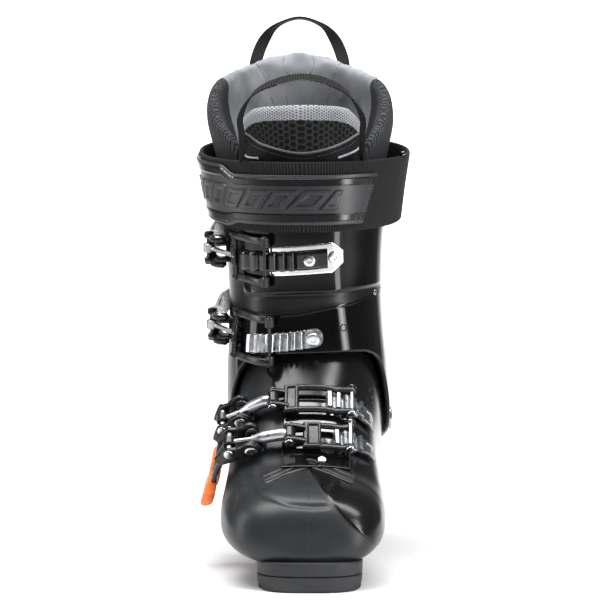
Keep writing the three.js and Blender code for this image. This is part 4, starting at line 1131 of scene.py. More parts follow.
def carried(obj, place, offsets, functions, counts):
    """Gives each point of a remeshed piece the values of the nearest point of its original surface."""
    us = np.linspace(0, 1, counts[0], endpoint=False)
    vs = np.linspace(0, 1, counts[1])
    U, V = np.meshgrid(us, vs, indexing="ij")
    places, values = [], {key: [] for key in functions}
    for side, off in zip((1, -1), offsets):
        places.append(place(U, V, np.full(U.shape, float(off))).reshape(-1, 3))
        for key, of in functions.items():
            values[key].append(np.ravel(of(U, V, side) * np.ones(U.shape)))
    places = np.concatenate(places)
    tree = KDTree(len(places))
    for i, at in enumerate(places):
        tree.insert(Vector(at), i)
    tree.balance()
    points = read_points(obj.data)
    found = [tree.find_n(Vector(at), 4) for at in points]
    index = np.array([[item[1] for item in row] for row in found])
    weight = 1 / (np.array([[item[2] for item in row] for row in found]) + 0.2) ** 2
    weight /= weight.sum(axis=1, keepdims=True)
    for key, parts in values.items():
        result = (np.concatenate(parts)[index] * weight).sum(axis=1)
        attribute = obj.data.attributes.new(key, "FLOAT", "POINT")
        attribute.data.foreach_set("value", result.astype(np.float32))


def dropped(finder, points, off):
    """Points moved onto the nearest place of a mesh, off mm out of it."""
    result = []
    for at in points:
        where, normal, _, _ = finder.find_nearest(Vector(at))
        result.append(np.array(where) + np.array(normal) * off)
    result = np.array(result)
    for _ in range(6):
        result[1:-1] = (result[:-2] + 2 * result[1:-1] + result[2:]) / 4
    return result


def make_liner():
    def thickness(u, v):
        degrees = np.degrees(np.abs((u - 0.5) * 2 * math.pi))
        edge = step(v, 0.93, 0.985) * step(-degrees, -110, -40)
        return 4.3 + 0.7 * edge
    liner = slab("liner_body", liner_point, (LINER_GIRTH, LINER_RISE), (150, 130),
                 lambda u, v: -thickness(u, v), thickness, (0, 4.5), True, sharp=80)
    close_toe(liner)
    functions = {
        "grey": grey_share,
        "across": lambda u, v, side: (u - 0.5) * LINER_GIRTH,
        "up": lambda u, v, side: v * LINER_RISE,
    }
    simulated(liner, liner_cap, **PADDING_SIMULATION)
    carried(liner, liner_point, (4.3, -4.3), functions, (220, 200))
    sink_lines(liner)
    liner.data.materials.append(LINER)
    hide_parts("liner_foot", "liner_cuff")
    return liner


def close_toe(obj):
    """Closes the two rings at the liner's toe end."""
    bm = bmesh.new()
    bm.from_mesh(obj.data)
    rim = [e for e in bm.edges if e.is_boundary]
    if rim:
        bmesh.ops.holes_fill(bm, edges=rim, sides=0)
    bm.to_mesh(obj.data)
    bm.free()


def liner_cap(points):
    """The padding may swell above the cuff, and hardly at all inside it."""
    return 0.15 + 2.2 * step(points[:, 2], 285, 320)


HALF_PANEL_LINES = [
    [(147, 372), (151, 366), (157, 358), (161, 350)],
    [(162, 345), (167, 335), (170.5, 322), (172, 308)],
    [(173.5, 346), (175.5, 334), (177, 318)],
]
PANEL_LINES = [[(172, 377), (171, 368), (174, 362.5), (180, 361), (186, 362.5), (189, 368), (188, 377)]]
PANEL_LINES += HALF_PANEL_LINES + [[(-d, z) for d, z in line] for line in HALF_PANEL_LINES]


def panel_path(line, count):
    """A panel line on the liner's inner face, given as (degrees, height) pairs."""
    path = fine(line, count)
    return on_leg(path[:, 1], np.radians(path[:, 0]), LINER_INNER_FACE)


def sink_lines(obj):
    """Presses the panel lines into the lining."""
    line_points = np.concatenate([panel_path(line, 60) for line in PANEL_LINES])
    tree = KDTree(len(line_points))
    for i, at in enumerate(line_points):
        tree.insert(Vector(at), i)
    tree.balance()
    mesh = obj.data
    points = read_points(mesh)
    normals = np.zeros(len(points) * 3, np.float32)
    mesh.vertices.foreach_get("normal", normals)
    normals = normals.reshape(-1, 3)
    near = np.array([tree.find(Vector(at))[2] for at in points])
    grey = np.zeros(len(points), np.float32)
    mesh.attributes["grey"].data.foreach_get("value", grey)
    depth = 0.9 * np.exp(-(near / 1.8) ** 2) * (grey > 0)
    mesh.vertices.foreach_set("co", ((points - normals * depth[:, None]) * MM).astype(np.float32).ravel())
    mesh.update()


TONGUE_HALF = math.radians(47)
tongue_top = smooth((0, 322), (25, 320.5), (38, 314), (47, 303))


def tongue_place(u, v, off):
    turn = (u * 2 - 1) * TONGUE_HALF
    degrees = np.degrees(np.abs(turn))
    z = lerp(196, tongue_top(degrees), v)
    tuck = 2.0 * step(degrees, 36, 46) + 2.5 * step(z, 282, 300)
    return on_leg(z, turn, -9.8 - tuck + off)


def tongue_height(u, v):
    degrees = np.degrees(np.abs((u * 2 - 1) * TONGUE_HALF))
    return lerp(196, tongue_top(degrees), v)


TONGUE_MIDDLE_X = -5.5


def piping_height(x):
    """Height of the tongue's curved piping, with x measured from the tongue's middle."""
    return 286.5 + 14.5 * (np.abs(x) / 39) ** 1.7


def make_tongue():
    def thickness(u, v):
        return 3.6 + 2.2 * step(v, 0.87, 0.93)

    def roll(u, v, side):
        degrees = np.degrees(np.abs((u * 2 - 1) * TONGUE_HALF))
        height = tongue_height(u, v)
        return np.maximum(height - (tongue_top(degrees) - 12.5), np.minimum(degrees - 41.5, height - 291))

    def panel(u, v, side):
        x = tongue_place(u, v, np.zeros(u.shape))[..., 0] - TONGUE_MIDDLE_X
        return piping_height(x) - tongue_height(u, v)
    functions = {
        "roll": roll,
        "panel": panel,
        "across": lambda u, v, side: (u - 0.5) * 115,
        "up": lambda u, v, side: tongue_height(u, v),
    }
    tongue = slab("tongue_body", tongue_place, (120, 125), (90, 100),
                  lambda u, v: -thickness(u, v), thickness, (4, 4.5), False, sharp=80)
    simulated(tongue, lambda p: 0.15 + 1.6 * step(p[:, 2], 270, 300), **PADDING_SIMULATION)
    carried(tongue, tongue_place, (4.4, -4.4), functions, (200, 200))
    finished(tongue, "cuff", TONGUE, "liner_dark", "tongue")
    return tongue


def make_trim(liner, tongue):
    """Piping, stitches and the panel edges that lie on the liner and the tongue; the panel edges are thin
    dark tubes, painted shade in the pressed grooves.
    """
    finder = surface_finder(tongue)
    turns = np.radians(np.linspace(-36, 37, 70))
    x = on_leg(np.full(turns.shape, 290.0), turns, -9)[:, 0] - TONGUE_MIDDLE_X
    path = on_leg(piping_height(x), turns, -3)
    curve = dropped(finder, path, 0.3)
    finished(tube("tongue_piping", curve, 0.95, 8), "cuff", DARK_PIPING, "liner_grey")
    below = dropped(finder, path - np.array([0, 0, 4.0]), 0.12)
    finished(stitches("tongue_stitches", below, 2.0, 0.3), "cuff", GREY_THREAD, "liner_dark")
    lining = surface_finder(liner)
    # painted shade: thin dark tubes along the pressed panel lines stand for the shade in their grooves
    groove_shades = [tube("seam", dropped(lining, panel_path(line, 40), -0.1), 0.42, 6) for line in PANEL_LINES]
    finished(joined("lining_groove_shades", *groove_shades), "cuff", GROOVE_SHADE_GREY, "liner_grey")
    for name, line in THROAT_LINES.items():
        path = fine(line, 30)
        edge = dropped(finder, on_leg(path[:, 1], np.radians(path[:, 0]), -2.0), 1.0)
        finished(tube(f"throat_piping_{name}", edge, 0.85, 8), "cuff", PIPING, "liner_grey")


THROAT_LINES = {
    "lateral": [(-48, 292), (-41, 287.5), (-34, 285), (-26, 284)],
    "medial": [(43, 294), (36, 290.5), (28, 287), (20, 284)],
}


def stitches(name, path, pitch, radius):
    """A row of short thread stitches along a curve."""
    steps = np.linalg.norm(np.diff(path, axis=0), axis=1)
    along = np.concatenate([[0], np.cumsum(steps)])
    total = along[-1]
    pieces = []
    for k in range(int(total / pitch)):
        where = (np.array([0.15, 0.4, 0.65]) + k) * pitch
        line = np.stack([np.interp(where, along, path[:, c]) for c in range(3)], axis=-1)
        pieces.append(tube("stitch", line, [radius * 0.6, radius, radius * 0.6], 6))
    return joined(name, *pieces)


def band_loop(name, points, acrosses, width, thickness, count=90):
    """A strip of webbing along a curve. acrosses gives its width direction at each given point."""
    path = fine(points, count)
    side = fine(acrosses, count)
    tangent = unit(np.gradient(path, axis=0))
    side = unit(side - np.sum(side * tangent, axis=1, keepdims=True) * tangent)
    away = np.cross(tangent, side)

    def place(u, v, off):
        t = u * (count - 1)
        def at(values):
            index = np.arange(count)
            return np.stack([np.interp(t, index, values[:, c]) for c in range(3)], axis=-1)
        return at(path) + at(side) * ((v - 0.5) * width)[..., None] + at(away) * off[..., None]
    length = float(np.linalg.norm(np.diff(path, axis=0), axis=1).sum())
    return slab(name, place, (length, width), (count, 8), -thickness / 2, thickness / 2, (0, thickness / 2))


def on_rear_loop(angle):
    """A point of the rear loop's arch, which leans forward towards its ends."""
    return -7 - 34.5 * math.cos(angle), -24 - 14 * (1 - math.sin(angle)), 360 + 46 * math.sin(angle)


REAR_LOOP_ANGLES = np.radians((-12, 4, 20, 40, 62, 90, 118, 140, 160, 176, 192))
REAR_LOOP = [on_rear_loop(angle) for angle in REAR_LOOP_ANGLES]
REAR_LOOP_SIDES = [(1, -0.3, 0), (1, -0.2, 0), (1, 0.2, 0.1), (0.8, 0.6, 0.1), (0.4, 1, 0.1), (0, 1, 0),
                   (-0.4, 1, 0.1), (-0.8, 0.6, 0.1), (-1, 0.2, 0.1), (-1, -0.2, 0), (-1, -0.3, 0)]
TONGUE_LOOP_ARCH = [(-47, -187, 312), (-38, -190, 327), (-22, -191.5, 335), (-5, -192, 338),
                    (12, -191.5, 335), (26, -190, 327), (36, -187, 312)]


def loop_leg(x, arch_y):
    """One leg of the tongue loop, from its sewn end between tongue and strap up to the arch."""
    sewn = on_leg(np.array(278.0), math.radians(turn_at_x(278.0, x)), 1.5)
    return [tuple(sewn)] + [(x, lerp(sewn[1], arch_y, share), z) for z, share in ((289, 0.4), (300, 0.78))]


TONGUE_LOOP = loop_leg(-46.5, -187) + TONGUE_LOOP_ARCH + loop_leg(36.5, -187)[::-1]
TONGUE_LOOP_SIDES = [(0.5, 0.4, 0.9), (0.5, 0.6, 0.6), (0.6, 1, 0.2), (0.6, 1, 0.2), (0.2, 0.9, 0.6),
                     (0, 0.7, 0.8), (0, 0.7, 0.8), (0, 0.7, 0.8),
                     (-0.2, 0.9, 0.6), (-0.6, 1, 0.2), (-0.6, 1, 0.2), (-0.5, 0.6, 0.6), (-0.5, 0.4, 0.9)]


def make_loops():
    rear = band_loop("rear_loop", REAR_LOOP, REAR_LOOP_SIDES, 9.5, 1.5)
    finished(rear, "cuff", WEBBING, "webbing", "rear_pull_loop")
    front = band_loop("tongue_loop", TONGUE_LOOP, TONGUE_LOOP_SIDES, 7.0, 1.2)
    finished(front, "cuff", WEBBING, "webbing", "tongue_pull_loop")
    label = TONGUE_LOOP[5:8]
    patch = [(x, y - 0.9, z - 0.7) for x, y, z in label]
    tag = band_loop("loop_label", patch, TONGUE_LOOP_SIDES[5:8], 5.4, 0.5, 40)
    finished(tag, "cuff", RUBBER_BLACK, "satin_black")


def make_footbed():
    """The removable footbed: a thin shaped sole with a raised heel cup and arch."""
    half_medial = smooth((-232, 20), (-220, 31), (-205, 33), (-160, 28), (-90, 22), (-30, 22), (-4, 12))
    half_lateral = smooth((-232, 22), (-220, 34), (-205, 37), (-160, 32), (-90, 25), (-30, 22), (-4, 12))

    def place(u, v, off):
        y = lerp(-232, -4, v)
        half = np.where(u > 0.5, half_medial(y), half_lateral(y))
        side = u * 2 - 1
        heel_cup = 5.5 * np.abs(side) ** 3 * step(y, -120, -60)
        arch = 4 * np.clip(side, 0, 1) ** 2 * np.exp(-((y + 95) / 35) ** 2)
        return point(side * half, y, 43.5 + (heel_cup + arch) + off)
    bed = slab("insole", place, (60, 228), (50, 90), -1.4, 1.4, (1.4, 1.4))
    finished(bed, "lower_boot", INSOLE_CLOTH, "liner_grey", "footbed")


liner = make_liner()
tongue = make_tongue()
make_trim(liner, tongue)
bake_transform(liner)
make_loops()
make_footbed()


# ------------------------------------------------------------------ power strap

STRAP_HEIGHT = 48
STRAP_THICKNESS = 3
STRAP_FRONT_Z = 258
STRAP_TILT = 0.2
OVERLAY_TURNS = (-100, 37)
strap_off = smooth((-180, 3), (-120, 3.5), (-90, 4.5), (-40, 4), (0, 3.5), (40, 5), (75, 9), (100, 9),
                   (140, 5), (180, 3))


def strap_point(turn, v, off):
    lower = on_leg(np.full(np.shape(turn), float(STRAP_FRONT_Z)), turn, 0.0)
    z = STRAP_FRONT_Z + STRAP_TILT * (lower[..., 1] - leg_front(STRAP_FRONT_Z))
    return on_leg(z + (v - 0.5) * STRAP_HEIGHT, turn, strap_off(np.degrees(turn)) + off)


def overlay_turn(u):
    """The overlay's turn round the leg, in radians."""
    return lerp(math.radians(OVERLAY_TURNS[0]), math.radians(OVERLAY_TURNS[1]), u)


def overlay_widening(turn):
    """From 0 in front to 1 at the overlay's wider lateral end."""
    return step(-np.degrees(turn), 36, 48)


def overlay_edges(turn):
    """The overlay's lower and upper edge as shares of the strap's height."""
    wide = overlay_widening(turn)
    return 0.11 - 0.06 * wide, 0.82 + 0.12 * wide


def overlay_place(u, v, off):
    slant = math.radians(9) * (v - 0.5) * u
    turn = overlay_turn(u) + slant
    low, high = overlay_edges(turn)
    return strap_point(turn, lerp(low, high, v), off)


def overlay_relief(u, v):
    """Two glossy bars with stepped ends and, between them, a row of hollow slanted blocks."""
    wide = overlay_widening(overlay_turn(u))
    top = 0.86 + 0.03 * wide
    bottom = 0.15 - 0.02 * wide
    inside = step(u, 0.05, 0.06) * step(-u, -0.955, -0.945)
    bars = step(-np.abs(v - top), -0.075, -0.055) + step(-np.abs(v - bottom), -0.075, -0.055)
    across = u * 10 - (v - 0.5) * 1.1
    phase = across - np.floor(across)
    inset = np.maximum(np.abs(phase - 0.5) / 0.40, np.abs(v - 0.5) / 0.19)
    block = step(-inset, -1.06, -0.94) * (1 - 0.8 * step(-inset, -0.62, -0.5))
    block *= step(u, 0.09, 0.10) * step(-u, -0.86, -0.85)
    return inside * (1.1 * bars + 1.5 * block)


def make_strap():
    def place(u, v, off):
        return strap_point((u - 0.5) * 2 * math.pi, v, off)
    strap = slab("strap_webbing", place, (430, STRAP_HEIGHT), (260, 30), 0, STRAP_THICKNESS, (0, 1.5), True)
    finished(strap, "cuff", WEBBING, "webbing", "power_strap")

    def gloss(u, v, side):
        wide = overlay_widening(overlay_turn(u))
        top = 0.08 - np.abs(v - 0.86 - 0.03 * wide)
        bottom = 0.08 - np.abs(v - 0.15 + 0.02 * wide)
        return np.maximum(top, bottom) * 35
    base = STRAP_THICKNESS + 0.5
    overlay = slab("strap_moulding", overlay_place, (190, 36), (320, 90), base, base + 1.5, (0.7, 0.7),
                   relief=overlay_relief, attributes={"gloss": gloss})
    finished(overlay, "cuff", STRAP_MOULDING, "satin_black", "strap_overlay")
    rows = []
    us = np.linspace(0.03, 0.975, 260)
    for v in (0.035, 0.965):
        path = overlay_place(us, np.full(us.shape, v), np.full(us.shape, base + 1.75))
        rows.append(stitches("row", path, 2.1, 0.32))
    vs = np.linspace(0.04, 0.96, 40)
    path = overlay_place(np.full(vs.shape, 0.975), vs, np.full(vs.shape, base + 1.75))
    rows.append(stitches("row", path, 2.1, 0.32))
    finished(joined("moulding_stitches", *rows), "cuff", GREY_THREAD, "webbing")
    ring = strap_point(np.full(24, math.radians(68)) + np.linspace(-0.035, 0.035, 24), np.full(24, 1.03),
                       np.full(24, 1.5))
    finished(tube("strap_edge_ring", ring, 1.4, 10), "cuff", GLOSS_BLACK, "gloss_black")


def strap_moulding_material():
    shader = Shader("strap_moulding", (0.02, 0.021, 0.023), 0.4)
    bar = shader.between(shader.value("gloss"), -0.2, 0.3)
    dull = shader.mix(shader.cloud(60), (0.022, 0.023, 0.025), (0.034, 0.035, 0.038))
    shader.color(shader.mix(bar, dull, (0.008, 0.008, 0.009)))
    shader.roughness(shader.between(bar, 0, 1, 0.33, 0.12, "LINEAR"))
    shader.bump(shader.noise(1400, 2), 0.0001, 0.4)
    return shader.material


STRAP_MOULDING = strap_moulding_material()
make_strap()


# ------------------------------------------------------------------ ladders and plates

def strip(name, band, origin, turns, heights, inner, outer, counts, radius=(0.4, 0.4), rise=0.0,
          relief=None, shape=None):
    """A strip off a wall: turns in degrees, heights along the buckle's axis, inner and outer offset.

    turns is a pair or a function of u. rise lifts the far end, and shape(u) is a share of the half height.
    """
    turn_of = turns if callable(turns) else (lambda u: lerp(turns[0], turns[1], u))

    def place(u, v, off):
        middle, half = (heights[0] + heights[1]) / 2, (heights[1] - heights[0]) / 2
        share = shape(u) if shape else 1.0
        height = middle + half * (v * 2 - 1) * share + rise * u
        return band(origin, np.radians(turn_of(u)), height, off)
    width = abs(turn_of(1.0) - turn_of(0.0)) * 1.05
    return slab(name, place, (width, heights[1] - heights[0]), counts, inner, outer, radius, relief=relief,
                sharp=32)


def even_in_x(origin, start, end):
    """Turns for a strip whose steps are even in x."""
    return lambda u: turn_at_x(origin[2], lerp(start, end, u))


def saw(count, share, valley, peak, rest):
    """Teeth over the first part of a strip: a steep face towards the buckle and a long back."""
    def outer(u, v):
        phase = (u / share * count) % 1
        tooth = lerp(valley, peak, step(phase, 0.0, 0.16) * step(-phase, -0.98, -0.5))
        return np.where(u > share, rest, tooth)
    return outer


def rounded_end(start, power=2.0):
    """Full width up to start, then a round end."""
    def shape(u):
        t = np.clip((u - start) / (1 - start), 0, 1)
        return np.maximum(1 - t ** power, 0.04) ** (1 / power)
    return shape


def make_upper_ladder():
    def pointed(u):
        return np.interp(u, (0, 0.05, 0.78, 0.84, 1.0), (0.90, 0.94, 0.97, 1.0, 0.40))
    base = strip("upper_plate", leg_band, UPPER_ORIGIN, even_in_x(UPPER_ORIGIN, -27.3, 23.6), (-11.5, 10.5),
                 0.6, 1.6, (90, 24), (0.5, 0.5), UPPER_RISE * 50.9, shape=pointed)
    finished(base, "cuff", CHROME, "chrome", "upper_base_plate")

    def outer(u, v):
        ribs = saw(6, 0.64, 2.9, 5.8, 4.6)(u, v)
        comb = 4.2 + 0.5 * np.sign(np.sin(u * 300))
        face = np.where(u > 0.89, comb, np.where(u > 0.66, 4.8, ribs))
        return face - 0.5 * (1 - step(np.minimum(v, 1 - v), 0.0, 0.12))
    turns = even_in_x(UPPER_ORIGIN, -44.8, 12.4)
    ladder = strip("upper_ladder_rack", leg_band, UPPER_ORIGIN, turns, (-8.7, 4.9), 2.0, outer, (420, 16),
                   rise=UPPER_RISE * 57.2)
    finished(ladder, "cuff", GLOSS_BLACK, "satin_black", "upper_ladder")


def make_lower_ladder():
    def outer(u, v):
        teeth = saw(8, 0.75, 2.4, 5.0, 3.9)(u, v)
        return teeth + 0.6 * step(u, 0.765, 0.775)
    turns = even_in_x(LOWER_ORIGIN, -41.5, 9.7)
    rack = strip("lower_ladder_rack", leg_band, LOWER_ORIGIN, turns, (-10.6, 2.2), 0.7, outer, (460, 18),
                 rise=LOWER_RISE * 51.2, shape=rounded_end(0.87, 2.2))
    finished(rack, "cuff", SILVER, "silver", "lower_ladder")


def make_cuff_screws():
    places = [
        ("base_plate_screw", UPPER_ORIGIN, 16.9, 2.9, 1.7, 4.2, 1.5),
        ("upper_ladder_screw", UPPER_ORIGIN, 0.0, 1.6, 4.7, 4.3, 1.9),
        ("lower_ladder_screw", LOWER_ORIGIN, 2.7, 1.4, 4.5, 4.8, 1.6),
    ]
    for node, origin, x, height, off, radius, rise in places:
        place = on_wall(leg_band, origin, turn_at_x(origin[2], x), height, off)
        head = fastener(node + "_head", place, radius, rise, 1.6, 2.0, 0.38)
        finished(head, "cuff", STEEL, "steel", node)


def make_foot_ladders():
    """The wavy catches of the foot buckles: hooked steps and a plain foot."""
    for name, origin, turns, count, share in (("instep", INSTEP_ORIGIN, (10, 57), 5, 0.66),
                                              ("toe", TOE_ORIGIN, (14, 55), 4, 0.6)):
        def outer(u, v, count=count, share=share):
            teeth = saw(count, share, 4.2, 7.8, 5.6)(u, v)
            foot_part = 5.6 - 2.4 * step(u, share + 0.12, 1.0)
            groove = 0.8 * (np.abs(v - 0.5) < 0.28) * (u > share + 0.06)
            return np.where(u > share, foot_part - groove, teeth)
        ladder = strip(f"{name}_catch", foot_band, origin, turns, (-6.6, 6.6), 2.3, outer, (360, 18))
        finished(ladder, "lower_boot", GREY_ALLOY, "silver", f"{name}_ladder")


make_upper_ladder()
make_lower_ladder()
make_cuff_screws()
make_foot_ladders()


# ------------------------------------------------------------------ buckles

def pivot_frame(band, origin, axis, turn):
    """The frame of a buckle's lever pivot: first axis back along the wall, second outwards."""
    at, behind, ahead = band(origin, np.radians([turn, turn - 4, turn + 4]), 0.0, PIVOT_OFF)
    return axes(at, behind - ahead, axis)


def rod_between(name, start, end, radius, ridges=0, cap=0.3):
    """A rod with bevelled ends, and thread ridges if asked."""
    length = float(np.linalg.norm(end - start))
    profile = [(0, 0), (radius - cap, 0), (radius, cap)]
    for k in range(ridges):
        z = lerp(0.15, 0.85, k / max(ridges - 1, 1)) * length
        pitch = 0.7 * length / ridges / 2
        profile += [(radius, z - pitch * 0.45), (radius * 0.84, z), (radius, z + pitch * 0.45)]
    profile += [(radius, length - cap), (radius - cap, length), (0, length)]
    return turned(name, profile, aimed(start, end - start), 24)


def ring_eye(name, place, radius, bore, low, high):
    """A ring round a pin, with rounded edges."""
    cap = 0.5
    profile = [(bore, low + 0.2), (bore + 0.2, low), (radius - cap, low), (radius, low + cap),
               (radius, high - cap), (radius - cap, high), (bore + 0.2, high), (bore, high - 0.2),
               (bore, low + 0.2)]
    return turned(name, profile, place, 32)


CHEEK_OUTLINE = [(-5.2, -1.5), (-4.2, -3.9), (-2, -5), (3, -5.2), (12, -6), (20, -6), (27, -6), (27, 1),
                 (22, 4), (17, 6.4), (13.5, 6.6), (9, 4.9), (5, 5.6), (1, 6.2), (-2.6, 5.4), (-4.8, 2.6)]


def make_lever(name, place, band, origin, turns, inner, outer, body, material):
    """A lever: two cheeks round its pivot, a crowned arm with a sunk panel, and a rounded end."""
    cheeks = [plate("cheek", CHEEK_OUTLINE, low, low + CHEEK, place, 0.55)
              for low in (-LEVER_HALF, LEVER_HALF - CHEEK)]

    def relief(u, v):
        side = np.minimum(v, 1 - v) * 2 * LEVER_HALF
        pocket = step(side, 3.0, 3.9) * step(u, 0.16, 0.2) * step(-u, -0.86, -0.82)
        ribs = 0.35 * (np.sin(u * 60) > 0.2) * step(u, 0.5, 0.52)
        crown = 0.8 * (1 - (2 * v - 1) ** 2)
        return crown - pocket * (1.5 - ribs) - 0.4
    arm = strip("arm", band, origin, turns, (-LEVER_HALF + 0.2, LEVER_HALF - 0.2),
                lambda u, v: inner(u), lambda u, v: outer(u), (120, 40), (2.2, 1.3), relief=relief,
                shape=lambda u: 1 - 0.16 * step(u, 0.55, 1.0))
    lever = joined(f"{name}_handle", *cheeks, arm)
    finished(lever, body, material, "black_metal", f"{name}_lever")


def make_bracket(name, place, foot_depth, body):
    """The bracket inside the cheeks, with its two headed studs."""
    face = LEVER_HALF - CHEEK - PIN_GAP
    ear = [(-6, -foot_depth), (6.5, -foot_depth), (5.4, -3), (4.2, 0.6), (2.2, 3.2), (-0.4, 3.9),
           (-2.8, 3.2), (-4.6, 0.6), (-5.4, -3)]
    low, high = -foot_depth + 0.2, -foot_depth + 2
    base = [(-7, low), (7, low), (6.2, high), (-6.2, high)]
    pieces = [plate("base", base, -face - 0.6, face + 0.6, place, 0.4)]
    heads = []
    for side in (-1, 1):
        low, high = sorted((side * (face - 2.4), side * face))
        pieces.append(plate("ear", ear, low, high, place, 0.5))
        out = place.copy()
        out[:3, 2] *= side
        out[:3, 0] *= side
        start = LEVER_HALF + PIN_GAP
        head = [(0, face - 1), (2.4, face - 1), (2.4, start), (4.0, start), (4.0, start + 0.5),
                (3.5, start + 1.0), (2.3, start + 1.25), (1.2, start + 1.0), (0, start + 0.9)]
        heads.append(turned("head", head, out, 32))
    finished(joined(f"{name}_bracket", *pieces), body, BLACK_METAL, "black_metal", f"{name}_buckle_base")
    finished(joined(f"{name}_pivot_rivets", *heads), body, STEEL, "steel", f"{name}_buckle_base")


def make_cuff_buckle(name, origin, pivot, hook_x):
    place = pivot_frame(leg_band, origin, CUFF_AXIS, pivot)
    back = pivot + 62
    make_lever(name, place, leg_band, origin, (-74.5 + back, -111 + back),
               lambda u: 8.5 - 5.6 * u, lambda u: 12.6 - 6.6 * u, f"{name}_lever", BLACK_METAL)
    make_bracket(name, place, PIVOT_OFF - 0.8, "cuff")
    trunnion = moved(place, *TRUNNION)
    pin = rivet_pin(f"{name}_swing_pin", trunnion, -LEVER_HALF - PIN_GAP, LEVER_HALF + PIN_GAP, 2.0, 1.6, 1.5)
    finished(pin, f"{name}_lever", BLACK_METAL, "steel", f"{name}_trunnion_pin")
    make_bail(name, origin, trunnion, turn_at_x(origin[2], hook_x))


BAIL_INNER = 11.4
BAIL_OUTER = 17.4
PLATE_TURN = -48
CROSSBAR_OFF = 7.6


def make_bail(name, origin, trunnion, hook_turn):
    """The wire-like bail: an adjuster rod, a cross plate, two arms, two barrels and the thin crossbar."""
    body = f"{name}_bail"
    centre = to_world(trunnion, [(0, 0, 0)])[0]
    plate_at = leg_band(origin, math.radians(PLATE_TURN + 1), 0.0, 5.2)
    direction = unit(plate_at - centre)
    eye = ring_eye("eye", trunnion, 4.4, 2.35, -3.4, 3.4)
    shaft = rod_between("shaft", centre + direction * 3.6, plate_at, 1.8, ridges=9)
    finished(joined(f"{name}_adjuster", eye, shaft), body, GREY_ALLOY, "steel", f"{name}_adjuster_rod")

    def rise(base):
        return lambda u, v: base + 3.6 * step(u, 0.3, 1) + 0.5 * (1 - (2 * v - 1) ** 2)
    arms = []
    for low, high in ((BAIL_INNER + 0.6, BAIL_OUTER), (-BAIL_OUTER, -BAIL_INNER - 0.6)):
        arms.append(strip("arm", leg_band, origin, (PLATE_TURN - 2, hook_turn + 1.5), (low, high),
                          rise(2.6), rise(4.8), (50, 14), (0.8, 0.9)))
    cross = strip("cross", leg_band, origin, (PLATE_TURN - 3, PLATE_TURN + 1.5), (-BAIL_OUTER, BAIL_OUTER),
                  2.6, 6.8, (14, 60), (1.0, 1.2),
                  relief=lambda u, v: -1.2 * step(-np.abs(np.abs(v - 0.5) - 0.3), -0.12, -0.1))
    hook_at = leg_band(origin, math.radians(hook_turn), 0.0, CROSSBAR_OFF)
    hook = axes(hook_at, np.array([1.0, 0, 0]), CUFF_AXIS)
    barrels = []
    for low, high in ((BAIL_INNER - 1, BAIL_OUTER + 0.6), (-BAIL_OUTER - 0.6, -BAIL_INNER + 1)):
        profile = [(0, low), (2.7, low), (3.3, low + 0.6), (3.3, high - 0.6), (2.7, high), (0, high)]
        barrels.append(turned("barrel", profile, hook, 32))
    finished(joined(f"{name}_frame", *arms, cross, *barrels), body, BLACK_METAL, "black_metal",
             f"{name}_bail")
    bar = rivet_pin(f"{name}_catch_bar", hook, -BAIL_OUTER - 0.8, BAIL_OUTER + 0.8, 1.15, 0.7, 0.6)
    finished(bar, body, BLACK_METAL, "silver", f"{name}_crossbar")


STRAP_HALF = 11.6
STRAP_ARM = 4.4
EAR_FACE = 4.4
EAR_WIDTH = 3


def make_foot_buckle(name, origin, pivot, clevis, hook, end):
    place = pivot_frame(foot_band, origin, FOOT_AXIS, pivot)
    lever_body = f"{name}_lever"
    make_lever(name, place, foot_band, origin, (pivot - 16, end), lambda u: 8 - 1.5 * u,
               lambda u: 12.0 - 1.6 * u, lever_body, BLACK_METAL)
    make_bracket(name, place, PIVOT_OFF - 1.7, "lower_boot")
    trunnion = moved(place, *TRUNNION)
    pin = rivet_pin(f"{name}_swing_pin", trunnion, -LEVER_HALF - PIN_GAP, LEVER_HALF + PIN_GAP, 2.0, 1.6, 1.4)
    finished(pin, lever_body, STEEL, "steel", f"{name}_trunnion_pin")
    make_tip(name, origin, end, lever_body)
    clevis_at = foot_band(origin, math.radians(clevis), 0.0, 8.6)
    clevis_place = axes(clevis_at, np.array([-1.0, 0, 0]), FOOT_AXIS)
    make_link(name, place, trunnion, clevis_place)
    make_strap_frame(name, origin, clevis, hook, clevis_place)


def make_tip(name, origin, end, body):
    """The orange finger pull at the lever's end: a tapering, dished plastic tip."""
    def relief(u, v):
        dish = -1.1 * step(np.minimum(v, 1 - v), 0.1, 0.3) * step(u, 0.12, 0.3) * step(-u, -0.95, -0.75)
        grip = 0.45 * (np.sin(u * 42) > 0.3) * step(np.minimum(v, 1 - v), 0.22, 0.3) * step(u, 0.3, 0.34)
        return dish + grip
    tip = strip(f"{name}_finger_pull", foot_band, origin, (end + 1.5, end - 17), (-9.4, 9.4),
                lambda u, v: 6.2 + 5 * u * u, lambda u, v: 12.4 + 7 * u, (80, 40), (1.6, 1.6),
                relief=relief, shape=lambda u: 1 - 0.22 * u ** 2)
    finished(tip, body, ORANGE, "orange", f"{name}_lever_tip")


